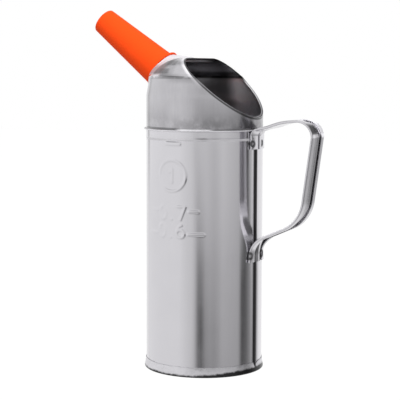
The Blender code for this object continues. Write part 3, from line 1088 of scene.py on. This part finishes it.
# %% Bridge from the shoulder to the patch
join_to(hood, patch)
bpy.ops.object.mode_set(mode="EDIT")
bpy.ops.mesh.select_mode(type="VERT")
bpy.ops.mesh.select_all(action="DESELECT")
bpy.ops.object.mode_set(mode="OBJECT")
faces_at = {edge.key: 0 for edge in hood.data.edges}
for face in hood.data.polygons:
    for key in face.edge_keys:
        faces_at[key] += 1
chosen = 0
for edge in hood.data.edges:
    asides = [beside_axis(hood.data.vertices[i].co)[1] for i in edge.vertices]
    near_gap = patch_radius - bridge_slack < min(asides) and max(asides) < hole_radius + bridge_slack
    if faces_at[edge.key] == 1 and near_gap:
        edge.select = True
        chosen += 1
        for i in edge.vertices:
            hood.data.vertices[i].select = True
print("edges to bridge", chosen)
bpy.ops.object.mode_set(mode="EDIT")
bpy.ops.mesh.select_mode(type="EDGE")
bpy.ops.mesh.bridge_edge_loops()
bpy.ops.object.mode_set(mode="OBJECT")
clean_up(hood)
add_thickness(hood, sheet, even=False)

# %% [markdown]
# ## The rolled edge of the mouth
# The cut edge of the mouth would be sharp, so it is rolled round to a bead. It could be extruded
# from the cut ring by ring, but the cut's points are uneven. A curve laid along the cut, with
# even points and a round bevel, makes a smoother roll. It is converted to a mesh and joined to
# the hood, whose cut edge ends inside it.

# %% Mouth bead: the cut's line
bead_points = 150
bead_tries = 1440
bead_inset = 0.5 * MM
bead_smoothness = 5
thin_share = 0.4
low_growth = 0.32
far_swell = 0.6
corner_end = 4 * MM
far_start = -6 * MM
growth_run = 12 * MM
low_run = 14 * MM


def far_growth(place):
    """0 along the near half of the mouth and its upper corner, 1 along the far half."""
    return clamp((place.x - corner_end) / growth_run) * clamp((place.y - far_start) / growth_run)


def mouth_point(bearing):
    """Where the meridian at a bearing meets the slanted cut, on the hood's outer side."""
    level_out = Vector((math.cos(bearing), math.sin(bearing), 0))
    lift = Vector((0, 0, mouth_height))
    path_points = [(body_radius, bead_top), *wall_line]
    for (near_radius, near), (far_radius, far) in zip(path_points, path_points[1:]):
        start = level_out * near_radius + Vector((0, 0, near)) - lift
        end = level_out * far_radius + Vector((0, 0, far)) - lift
        before, after = start.dot(mouth_normal), end.dot(mouth_normal)
        if before <= 0 < after:
            place = start.lerp(end, before / (before - after))
            slope = Vector((far_radius - near_radius, far - near)).normalized()
            outward = level_out * slope.y - Vector((0, 0, slope.x))
            return place + lift - outward * bead_inset * (1 + far_growth(place))
    return None


dense = [mouth_point(math.tau * i / bead_tries) for i in range(bead_tries)]
dense = [place for place in dense if place is not None]
walked = [0.0]
for near, far in zip(dense, dense[1:] + dense[:1]):
    walked.append(walked[-1] + (far - near).length)
even = []
step = 0
for i in range(bead_points):
    target = walked[-1] * i / bead_points
    while walked[step + 1] < target:
        step += 1
    share = (target - walked[step]) / (walked[step + 1] - walked[step])
    even.append(dense[step].lerp(dense[(step + 1) % len(dense)], share))
print(len(even), "even points along the cut")

# %% Mouth bead: the roll
curve = bpy.data.curves.new("mouth_bead", "CURVE")
curve.dimensions = "3D"
curve.bevel_depth = mouth_bead
curve.bevel_resolution = bead_smoothness
spline = curve.splines.new("POLY")
spline.points.add(len(even) - 1)
for point, place in zip(spline.points, even):
    point.co = (*place, 1)
    low_share = clamp((place.x - corner_end) / low_run)
    point.radius = thin_share + low_growth * low_share + far_swell * far_growth(place)
spline.use_cyclic_u = True
bead = bpy.data.objects.new("mouth_bead", curve)
bpy.context.scene.collection.objects.link(bead)
work_on(bead)
bpy.ops.object.convert(target="MESH")
clean_up(bead)
join_to(hood, bead)
print("mouth bead", round(walked[-1] / MM, 1), "mm long")

# %% [markdown]
# ## The hood's finish
# Drawing and turning leave the hood duller than the body: its crease is mottled and dirt sits above
# the bead. Much of the rest is painted light and shade. The matt band beside the neck stands in for
# the shading of the neck's blend. The collar, the bead, the mouth and the shoulder get painted
# highlights and painted shade, and a darker band low on the wall is painted shade. Its hollow is lit
# by what it mirrors of itself, which a small light tent gives only roughly, so its light and shade
# are painted too. A painted picture could hold all this, but it would need an unwrapped sheet. Here
# each is a mark, a product of soft steps along the piece's own coordinates, so it keeps its place in
# every view. Marks darken or lighten the tone, and the matt and bright ones also take off some of
# the metallic share.

# %% Hood finish: mouth, crease and bead
patch_grain = (130.0, 4.0, 0.65)
hood_bump = 0.006 * MM
dirt_shares = (0.5, 1.3)
left_shade = 0.14
right_shade = 0.19
middle_shine = 0.6
side_shine = 0.8
shine_tone = 0.97
mouth_highlight_tone = 0.88

hood_finish, tree, value, gloss, height = tinplate(
    "drawn_tinplate", tone=0.56, roughness=0.19, clouds=0.14, streaks=0.10)
spot = tree.place()
across, over, up = tree.split(spot)
patches = tree.grain(spot, *patch_grain)
front = along_front(across, over)
from_crease = up - crease_height
from_bead = up - bead_top
from_joint = up - bead_foot
from_mouth = across * mouth_normal.x + over * mouth_normal.y + (up - mouth_height) * mouth_normal.z

# The mouth: painted shade as a dark line under its roll low down and as fine dark lines along its
# upper part and its far side, and a painted highlight as a light band below its near edge.
mouth_crevice_shade = tree.mark((from_mouth, -1.25, -0.95), (from_mouth, 0, -0.25), (across, 10, 20))
mouth_edge_shade = tree.mark((from_mouth, -0.75, -0.5), (across, 18, 10))
far_mouth_shade_line = tree.line(from_mouth, 0.3, 0.3, 0.12) * tree.mark((over, 2, 8), (across, 6, 12))
mouth_edge_highlight = tree.mark((from_mouth, -3.2, -1.2), (across, 18, 10), (over, -10, -20))
# Mottling along the crease, and dirt that thickens towards the bead and the handle's side.
on_crease = tree.line(from_crease, -0.4, 1.5, 0.3) * tree.between(patches, 0.36, 0.56)
over_lip = tree.mark((from_bead, 14, 2)) * tree.between(patches, 0.26, 0.60)
over_lip = over_lip * tree.blend(tree.mark((across, -25, 25)), *dirt_shares)
# Painted shade: a darker band low on the wall, at the far left and over the right half.
left_shade_band = tree.mark((front, -24, -30), (from_bead, 3, 9))
low_shade_band = left_shade_band * left_shade + tree.mark((front, -11, 0)) * right_shade
low_shade_band = low_shade_band * tree.mark((from_bead, 24, 8))
# The bead at the joint: a painted highlight as a bright line, and over it on the left painted shade as a
# dark one.
left_part = tree.mark((front, -17, -23))
middle_part = (1 - left_part) * tree.mark((front, 8, 2))
lip_shine = middle_part * tree.mark((from_joint, 1.9, 1.5)) * middle_shine
lip_shine = lip_shine + (1 - middle_part) * tree.mark((from_joint, 0.95, 0.65)) * side_shine
foot_shade_line = left_part * tree.line(from_joint, 2.0, 0.9, 0.5)

value = tree.shade(value, (on_crease, 0.45), (over_lip, 0.26), (low_shade_band, 1))
value = tree.blend(lip_shine, tree.shade(value, (foot_shade_line, 0.5)), shine_tone)
value = tree.blend(mouth_edge_highlight, value, mouth_highlight_tone)
value = tree.shade(value, (mouth_crevice_shade, 0.8), (mouth_edge_shade, 0.9), (far_mouth_shade_line, 0.6))
print("hood finish", hood_finish.name, "with", len(tree.nodes), "nodes so far")

# %% Hood finish: neck and inside
neck_shading_tone = 0.18
neck_gloss = 0.46
neck_swing = 0.2
inside_gloss = 0.36
shade_shares = (0.5, 0.7)
glow_shares = (0.05, 0.57)
top_highlight_tone = 0.97
slant = 4 * MM
hood_middle = Vector((0, 0, crease_height - 12 * MM))

# A face looks into the hood where its normal points at the hood's middle.
facing = tree.node("ShaderNodeTexCoord", output="Normal")
turned = tree.vector("DOT_PRODUCT", tree.vector("SUBTRACT", spot, hood_middle), facing, output=1)
inside = tree.mark((turned, 2, -2))
outside = tree.mark((turned, -2, 2))
# A matt band by its distance from the spout's axis, whose dark tone is painted shading of the neck's
# blend, and the paler collar next to the neck, which is a painted highlight.
from_axis = tree.vector("CROSS_PRODUCT", tree.vector("SUBTRACT", spot, spout_root), spout_axis)
beside = tree.vector("LENGTH", from_axis, output=1)
from_top = up - hood_top
neck_shading_band = tree.mark((beside, 41, 36), (across, -5, -13), (from_crease, 0.8, 2.8)) * outside
collar_highlight = tree.mark((beside, 32.6, 29.8)) * neck_shading_band

# Inside, painted light and shade: a lighter hollow, shade at the crease and below it, a glow on the
# far side and a highlight along the top.
crease_shade = tree.mark((from_crease, -2, -0.5), (from_crease, 5, 2.5)) * inside
crease_shade = crease_shade * tree.blend(tree.mark((across, -14, -3)), *shade_shares)
slanted = across - tree.mark((from_crease, -16, -22)) * slant
under_crease_shade = tree.mark((from_crease, -32, -20), (slanted, 8, -5)) * inside
near_crease_shade = tree.mark((from_crease, -4, -0.3), (from_crease, 0.3, 0)) * inside
far_glow = tree.mark((slanted, -9, 8), (over, 10, 30)) * inside
far_glow = far_glow * tree.blend(tree.mark((from_crease, -28, -5)), *glow_shares)
top_highlight = tree.mark((from_top, -3.2, -2.4), (from_top, -0.9, -1.5), (over, 6, 14), (across, -6, -16))
top_highlight = top_highlight * inside

gloss = tree.blend(inside, tree.blend(neck_shading_band, gloss, neck_gloss), inside_gloss)
value = tree.blend(neck_shading_band, value, vary(neck_shading_tone, (patches, neck_swing)))
value = tree.shade(value, (inside, -0.55), (crease_shade, 1), (under_crease_shade, 0.66))
value = tree.shade(value, (near_crease_shade, 0.4), (far_glow, -0.8))
value = tree.blend(top_highlight, value, top_highlight_tone)
print("hood finish with", len(tree.nodes), "nodes so far")

# %% Hood finish: shoulder by the neck
collar_highlight_tones = (0.62, 0.397)

# The collar is a painted highlight, darker low down. Near it is painted shade, as two dark blotches
# and soft shade under the crease, and painted highlights as a light foot and a light top.
low_collar_shade = tree.mark((from_crease, 10, 7))
neck_shade_blotches = tree.line(across, -14.5, 7, 3) * tree.line(from_crease, 4.4, 2.4, 1.2)
neck_shade_blotches = neck_shade_blotches + tree.line(across, -10.5, 6, 3) * tree.line(from_crease, 10.3, 2.4, 1.2)
crease_foot_highlight = tree.mark((across, -16, -20), (from_crease, -1.5, -0.5), (from_crease, 3, 2))
crease_foot_shade = tree.mark((from_crease, -6, -1), (from_crease, 0, -0.5), (across, -16, 2))
upper_highlight = tree.mark((across, -7, -3), (from_crease, 1.5, 3), (from_crease, 10, 8))

value = tree.blend(collar_highlight, value, tree.blend(low_collar_shade, *collar_highlight_tones))
for patch, strength in ((crease_foot_shade, 0.24), (neck_shade_blotches, 0.42), (crease_foot_highlight, -0.6), (upper_highlight, -0.2)):
    value = tree.shade(value, (patch * outside, strength))
share = tree.without(
    (neck_shading_band, 0.8), (collar_highlight, 0.15), (mouth_edge_highlight, 0.15), (top_highlight, 0.9), (far_glow, 0.3), (lip_shine, 0.5))
metal(tree, value, gloss, height, hood_bump, share)
finish_piece(hood, hood_finish, "jug", "hood")

# %% [markdown]
# ## The handle
# The handle is one strip of steel. Its two long edges are folded over to flat hems, a shallow
# channel is pressed along the middle of the grip, and the lug at each end hugs the body, has a
# short rib and is spot-welded on. A curve with a bevel would give a round wire, so the strip
# starts as a flat grid: one direction runs along the bent line, the other across the folded
# section. Each point is carried to its place, and Solidify gives the sheet its thickness.

# %% Handle sizes
strip_sheet = 0.6 * MM
strip_width = 22.0 * MM
hem_width = 5.3 * MM
fold_height = strip_sheet + play
upper_lug_height = 12.6 * MM
lower_lug_height = 15.2 * MM
lower_lug_bottom = 83.6 * MM
arm_root_drop = 0.6 * MM
arm_rise = math.radians(19.4)
arm_span = 24.0 * MM
crown_rise = math.radians(5.0)
grip_corner_reach = 49.6 * MM
grip_lean = math.radians(8.1)
lower_arm_slope = math.radians(23.5)
bend_radii = [radius * MM for radius in (0, 4.3, 60.0, 11.3, 25.0, 15.0, 0)]
saddle_fade = 12.0 * MM
channel_fade = 8.0 * MM
channel_depth = 0.35 * MM
channel_half = 4.9 * MM
channel_shoulder = 2.4 * MM
upper_lug_rib_rise = 0.6 * MM
lower_lug_rib_rise = 1.2 * MM
lug_rib_half = 2.6 * MM
lug_rib_shoulder = 1.3 * MM
station_step = 1.5 * MM
lug_step = 0.6 * MM

upper_x = body_radius + bell_rise + play + strip_sheet / 2 + fold_height
lower_x = body_radius + play + strip_sheet / 2
grip_x = body_radius + grip_corner_reach
arm_root = Vector((upper_x, body_top - arm_root_drop))
crown = arm_root + Vector((math.cos(arm_rise), math.sin(arm_rise))) * arm_span
top_corner = Vector((grip_x, crown.y + (grip_x - crown.x) * math.tan(crown_rise)))
lower_root = Vector((lower_x, lower_lug_bottom + lower_lug_height))
run = top_corner - lower_root
arm_fall = math.tan(lower_arm_slope)
lean_fall = math.tan(grip_lean)
arm_reach = (run.x - run.y * lean_fall) / (1 - arm_fall * lean_fall)
bottom_corner = lower_root + Vector((arm_reach, arm_reach * arm_fall))
corners = [
    Vector((upper_x, arm_root.y - upper_lug_height)),
    arm_root,
    crown,
    top_corner,
    bottom_corner,
    lower_root,
    Vector((lower_x, lower_lug_bottom)),
]
print("handle corners", [[round(value / MM, 1) for value in corner] for corner in corners])

# %% The bent line and the folded section
bend_step = math.radians(4.0)
hem_point = 0.55 * MM
flat_point = 0.7 * MM
channel_point = 0.4 * MM
channel_foot = 5.0 * MM
fold_steps = 7


def bent_line(corners, radii):
    """(place, direction) along a line with rounded corners, denser on the lugs."""
    stations = []
    last_end = corners[0]
    for i in range(1, len(corners)):
        before = (corners[i] - corners[i - 1]).normalized()
        if i < len(corners) - 1:
            after = (corners[i + 1] - corners[i]).normalized()
            swing = before.angle_signed(after)
            reach = radii[i] * math.tan(abs(swing) / 2)
        else:
            swing, reach = 0.0, 0.0
        bend_start = corners[i] - before * reach
        widest = lug_step if i in (1, len(corners) - 1) else station_step
        for share in spread(0.0, 1.0, widest / max((bend_start - last_end).length, widest)):
            stations.append((last_end.lerp(bend_start, share), before))
        if not swing:
            stations.append((corners[i], before))
            break
        side = Vector((before.y, -before.x)) * math.copysign(1, swing)
        centre = bend_start + side * radii[i]
        for share in spread(0.0, 1.0, bend_step / abs(swing)):
            spin = Matrix.Rotation(-swing * share, 2)
            stations.append((centre - spin @ side * radii[i], spin @ before))
        last_end = corners[i] + after * reach
    return stations


def soft_rib(across, half, shoulder):
    """A rib's shape: 1 over its crown, 0 beyond its foot."""
    return float(soft_step((half - abs(across)) / shoulder))


def fade(distance, length):
    """1 at the start, falling smoothly to 0 over the given length."""
    return 1 - float(soft_step(distance / length))


def folded_section():
    """(across, height) from one raw edge over the fold and the middle to the other."""
    half = strip_width / 2 - strip_sheet / 2
    fold = fold_height / 2
    raw_edge = strip_width / 2 - hem_width
    side = [(x, fold_height) for x in spread(raw_edge, half - fold, hem_point)]
    side += arc((half - fold, fold), fold, 90, -90, fold_steps)
    side += [(x, 0.0) for x in spread(half - fold, channel_foot, flat_point)[1:]]
    channel = [channel_foot - channel_point * i for i in range(math.ceil(channel_foot / channel_point))]
    side += [(x, 0.0) for x in channel]
    return side + [(0.0, 0.0)] + [(-x, height) for x, height in reversed(side)]


stations = bent_line(corners, bend_radii)
section = folded_section()
travelled = [0.0]
for (near, _), (far, _) in zip(stations, stations[1:]):
    travelled.append(travelled[-1] + (far - near).length)
print(len(stations), "stations of", len(section), "points,", round(travelled[-1] / MM), "mm of strip")

# %% Handle
weld_radius = 2.6 * MM
weld_depth = 0.45 * MM
weld_ring = (0.62, 0.26)
weld_lip = (1.2, 0.2)
weld_lip_share = 0.3
upper_weld_inset = 4.2 * MM
lower_weld_inset = 5.0 * MM
upper_welds = (-9.3 * MM, 3.9 * MM)
lower_welds = (-9.9 * MM, 5.6 * MM)
lug_flare = 0.12
fold_swell = 0.8
grip_swell_share = 0.35
swell_start = body_radius + 40 * MM
swell_run = 14 * MM
arm_sink = 0.7 * MM
welds = [(upper_weld_inset, aside) for aside in upper_welds]
welds += [(travelled[-1] - lower_weld_inset, aside) for aside in lower_welds]
grip_top = top_corner.y - bend_radii[3]
grip_bottom = bottom_corner.y + bend_radii[4] / 2


def hump(place, middle, width):
    return math.exp(-(((place - middle) / width) ** 2))


def weld_dent(walked, across):
    """How deep the electrode pressed at a place on the strip: a ring with a raised middle."""
    dent = 0.0
    for station, offset in welds:
        reach = math.hypot(walked - station, across - offset) / weld_radius
        dent += hump(reach, *weld_ring) - weld_lip_share * hump(reach, *weld_lip)
    return dent * weld_depth


def strip_point(i, j):
    """Where the strip's point at a station and at a place of the section lies."""
    place, ahead = stations[i]
    across, height = section[j]
    outer = Vector((-ahead.y, ahead.x))
    to_end = travelled[-1] - travelled[i]
    upper = fade(travelled[i] - upper_lug_height, saddle_fade)
    lower = fade(to_end - lower_lug_height / 2, saddle_fade)
    grip = fade(place.y - grip_top, channel_fade) * fade(grip_bottom - place.y, channel_fade)
    if place.x < body_radius + grip_corner_reach / 2:
        grip = 0
    free = (1 - upper) * (1 - lower)
    swell = grip_swell_share + (1 - grip_swell_share) * clamp((swell_start - place.x) / swell_run)
    saddle = body_radius - math.sqrt(body_radius**2 - across**2)
    lug_rib = soft_rib(across, lug_rib_half, lug_rib_shoulder)
    rise = height * (1 + fold_swell * free * swell) - arm_sink * free * abs(ahead.x)
    rise += (saddle + weld_dent(travelled[i], across)) * (upper - lower)
    rise += lug_rib * (lower_lug_rib_rise * lower - upper_lug_rib_rise * upper)
    rise -= soft_rib(across, channel_half, channel_shoulder) * channel_depth * grip
    point = place + outer * rise
    return point.x, across * (1 + lug_flare * fade(to_end, saddle_fade)), point.y


last_station = len(stations) - 1
last_point = len(section) - 1
bpy.ops.object.select_all(action="DESELECT")
bpy.ops.mesh.primitive_grid_add(x_subdivisions=last_station, y_subdivisions=last_point, size=1)
handle = start_piece("strip_handle")
for vertex in handle.data.vertices:
    i = round((vertex.co.x + 0.5) * last_station)
    j = round((vertex.co.y + 0.5) * last_point)
    vertex.co = strip_point(i, j)
handle.data.update()
grip_face = max(handle.data.polygons, key=lambda face: face.center.x)
if grip_face.normal.x < 0:
    turn_over(handle)
add_thickness(handle, strip_sheet, 0.0, even=False)
print("handle", len(handle.data.polygons), "faces with", len(welds), "welds")

# %% [markdown]
# ## The handle's finish
# Each spot weld leaves a burnt ring with a paler middle. The raw edges of the hems draw thin lines
# along the arms, with painted shade in the groove beside the far hem. The channel is darkened with
# painted shade and has one painted highlight along it. At the two bends the hems mirror one
# another, which shows as light edges and a dark hollow. Real mirroring gives most of this, and the
# finest lines, about one dot wide in the picture, are marks again: painted highlights and painted
# shade.

# %% Handle finish: welds
handle_bump = 0.005 * MM
upper_burn = 3.1 * MM
lower_burn = 3.7 * MM
burn_darks = (0.75, 0.35)
burn_gloss = 0.3

handle_finish, tree, value, gloss, height = tinplate(
    "folded_steel", tone=0.72, roughness=0.16, clouds=0.10, streaks=0.10)
burnt = 0.0
for walked, aside in welds:
    if walked < travelled[-1] / 2:
        burn, swung, weld_radial, weld_up = upper_burn, aside, upper_x, corners[0].y + walked
    else:
        burn, swung, weld_radial = lower_burn, aside * (1 + lug_flare), lower_x + fold_height
        weld_up = corners[-1].y + travelled[-1] - walked
    weld_place = Vector((math.sqrt(weld_radial**2 - aside**2), swung, weld_up))
    gap = tree.vector("DISTANCE", tree.place(), weld_place, output=1)
    ring = tree.blend(tree.between(gap, 0.45 * burn, 0.15 * burn), *burn_darks)
    burnt = tree.between(gap, burn, 0.7 * burn) * ring + burnt
print("burnt rings round", len(welds), "welds")

# %% Handle finish: hems, bends and ribs
# The hem's raw edge, in millimetres beside the strip's middle.
hem_edge = 5.5
lower_edge_share = 0.5
bright_tone = 0.97
hem_highlight_tone = 0.95
face_highlight_tone = 0.9

across, over, up = tree.split(tree.place())
# Painted shade in the groove beside the far hem and in the grip's channel, and a painted highlight
# as the channel's bright line.
off_root = tree.either(tree.mark((across, 55, 62)), tree.mark((up, 120, 112)))
groove_shade = tree.line(over, hem_edge, 0.6, 0.25) * off_root
on_grip = tree.mark((across, 74, 80))
channel = tree.mark((over.maths("ABSOLUTE"), 5.2, 4.4)) * on_grip
channel_highlight = tree.line(over, -4.7, 0.8, 0.3) * on_grip
# The far hem's edges, with painted highlights over the bends.
on_bends = tree.mark((across, 60, 68))
upper_edge = tree.mark((over, 4.9, 5.4), (up, 185, 188)) + tree.mark((over, 5.7, 6.2), (up, 176, 180))
lower_edge = tree.mark((over, 4.9, 5.4), (up, 128, 122)) * lower_edge_share
bright = tree.either(upper_edge, lower_edge) * on_bends
edge_face_highlight = tree.line(over, hem_edge, 0.55, 0.3) * tree.mark((up, 176, 181)) * on_bends
# Painted reflection and shade: the side that faces the body loses some of its metallic share, the
# hollow of the lower bend is darkened, and its light part gets a painted highlight.
face_across, _, face_up = tree.split(tree.node("ShaderNodeTexCoord", output="Normal"))
body_side = tree.between(face_across, -0.3, -0.8)
hollow = tree.between(face_across - face_up, -0.2, -0.8) * tree.mark((up, 130, 121), (across, 48, 54))
highlight_part = tree.either(tree.mark((over, -4.6, -5.8)), tree.mark((across, 73, 77)))
# The lower lug's rib, with painted shade along both sides and painted highlights along its crown and
# beside its far side.
on_lug = tree.mark((up, 101, 96), (across, 52, 48))
rib_shade = tree.line(over, -3.6, 2.6, 1.8) + tree.line(over, 1.5, 0.9, 0.5)
rib_shine = tree.either(tree.line(over, -0.2, 0.9, 0.4), tree.line(over, 3.4, 1.2, 0.6))

value = tree.shade(value, (burnt, 1.15), (groove_shade, 0.45), (channel, 0.3))
for mark, tone in ((channel_highlight, bright_tone), (bright, hem_highlight_tone), (edge_face_highlight, face_highlight_tone)):
    value = tree.blend(mark, value, tone)
value = tree.blend(hollow * highlight_part, tree.shade(value, (hollow, 0.6)), bright_tone)
value = tree.blend(rib_shine * on_lug, tree.shade(value, (rib_shade * on_lug, 0.65)), bright_tone)
plain = (bright * 0.55).maths("MAXIMUM", edge_face_highlight * 0.85)
mirrored = (body_side * 0.5).maths("MAXIMUM", hollow * highlight_part * 0.85)
share = tree.without((burnt, 0.4), (mirrored, 1), (plain, 1))
metal(tree, value, gloss + burnt * burn_gloss, height, handle_bump, share)
finish_piece(handle, handle_finish, "jug", "handle")

# %% [markdown]
# ## The spout
# The spout is injection-moulded in orange plastic: a long cone with a rounded tip, a thin flange
# that rests on the neck, and a plug that pushes in. It is turned upright like the metal pieces,
# as a closed outline with the bore inside, and its points are then carried onto the slanted
# axis, which is the axis it is pulled out along.

# %% Spout
flange_width = 2.3 * MM
flange_thickness = 1.2 * MM
spout_root_radius = 14.1 * MM
spout_tip_radius = 10.0 * MM
spout_length = 64.9 * MM
spout_wall = 1.2 * MM
plug_length = 10.0 * MM
plug_taper = 0.4 * MM
root_fillet = 0.5 * MM
plug_chamfer = 0.3 * MM
flange_trim = 0.97
cone_row = 4.0 * MM
spout_columns = 120

flange_radius = plug_radius + flange_width
half_wall = spout_wall / 2
half_flange = flange_thickness / 2
spout_line = [(spout_root_radius - spout_wall, flange_thickness)]
spout_line += [(spout_tip_radius - spout_wall, spout_length - half_wall)]
spout_line += arc((spout_tip_radius - half_wall, spout_length - half_wall), half_wall, 180, 0, 8)[1:]
cone = spread(spout_length - half_wall, flange_thickness + root_fillet, cone_row)[1:]
cone_slope = (spout_root_radius - spout_tip_radius) / (spout_length - flange_thickness)
spout_line += [(spout_root_radius - cone_slope * (h - flange_thickness), h) for h in cone]
fillet_centre = (spout_root_radius + root_fillet, flange_thickness + root_fillet)
spout_line += arc(fillet_centre, root_fillet, 180, 270, 4)
spout_line += arc((flange_radius - half_flange, half_flange), half_flange, 90, -90, 8)
spout_line += [(plug_radius, 0), (plug_radius, -plug_length / 2)]
plug_end = plug_radius - plug_taper
spout_line += [(plug_end, plug_chamfer - plug_length), (plug_end - plug_chamfer, -plug_length)]
spout_line += [(plug_end - spout_wall, -plug_length), (spout_root_radius - spout_wall, flange_thickness)]
spout = turn_outline("spout_cone", spout_line, spout_columns)
for vertex in spout.data.vertices:
    reach = vertex.co.xy.length
    if reach > spout_root_radius + root_fillet and vertex.co.z > -flange_thickness:
        low_side = (1 - vertex.co.x / reach) / 2
        trim = (reach - spout_root_radius) * flange_trim * low_side
        vertex.co.xy *= 1 - trim / reach
seat_place = spout_root + spout_axis * (seat + play)
lean = Matrix.Rotation(-(math.pi / 2 - spout_tilt), 4, "Y")
spout.data.transform(Matrix.Translation(seat_place) @ lean)
print("spout seated at", [round(value / MM, 1) for value in seat_place], "mm")

# %% [markdown]
# ## The spout's finish
# Moulded plastic takes its dull skin from the mould. A very fine noise roughens it, a broad one
# varies the orange a little, and a low specular level keeps the tent from greying the colour.

# %% Orange plastic
darker_orange = (0.90, 0.070, 0.008, 1)
lighter_orange = (0.95, 0.078, 0.010, 1)
skin_grain = (1300.0, 3.0, 0.6)
tone_grain = (60.0, 3.0, 0.5)
skin_roughness = 0.6
skin_swing = 0.1
skin_bump = 0.02 * MM
skin_strength = 0.6
skin_shine = 0.04

orange = bpy.data.materials.new("orange_plastic")
tree = Tree(orange)
skin = tree.grain(tree.place(), *skin_grain)
colour = tree.tint(tree.grain(tree.place(), *tone_grain), darker_orange, lighter_orange)
sockets = {"Strength": skin_strength, "Distance": skin_bump, "Height": skin}
normal = tree.node("ShaderNodeBump", sockets=sockets)
sockets = {"Base Color": colour, "Roughness": vary(skin_roughness, (skin, skin_swing))}
sockets |= {"Normal": normal, "Specular IOR Level": skin_shine}
surface = tree.node("ShaderNodeBsdfPrincipled", sockets=sockets)
tree.node("ShaderNodeOutputMaterial", sockets={"Surface": surface})
finish_piece(spout, orange, "spout", "spout")

# %% [markdown]
# ## The sizes
# A dressed piece may be finer than its solid, but the whole jug should fill the same room. Both
# boxes are found in metres, and the sides of each are printed in millimetres.

# %% Sizes of the solids and of the pieces
boxes = {"cad": [list(corner) for corner in cad_bounds], "visual": [list(c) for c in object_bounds()]}
for name, (low, high) in boxes.items():
    print(name, "sides", [round((end - start) / MM, 1) for start, end in zip(low, high)], "mm")
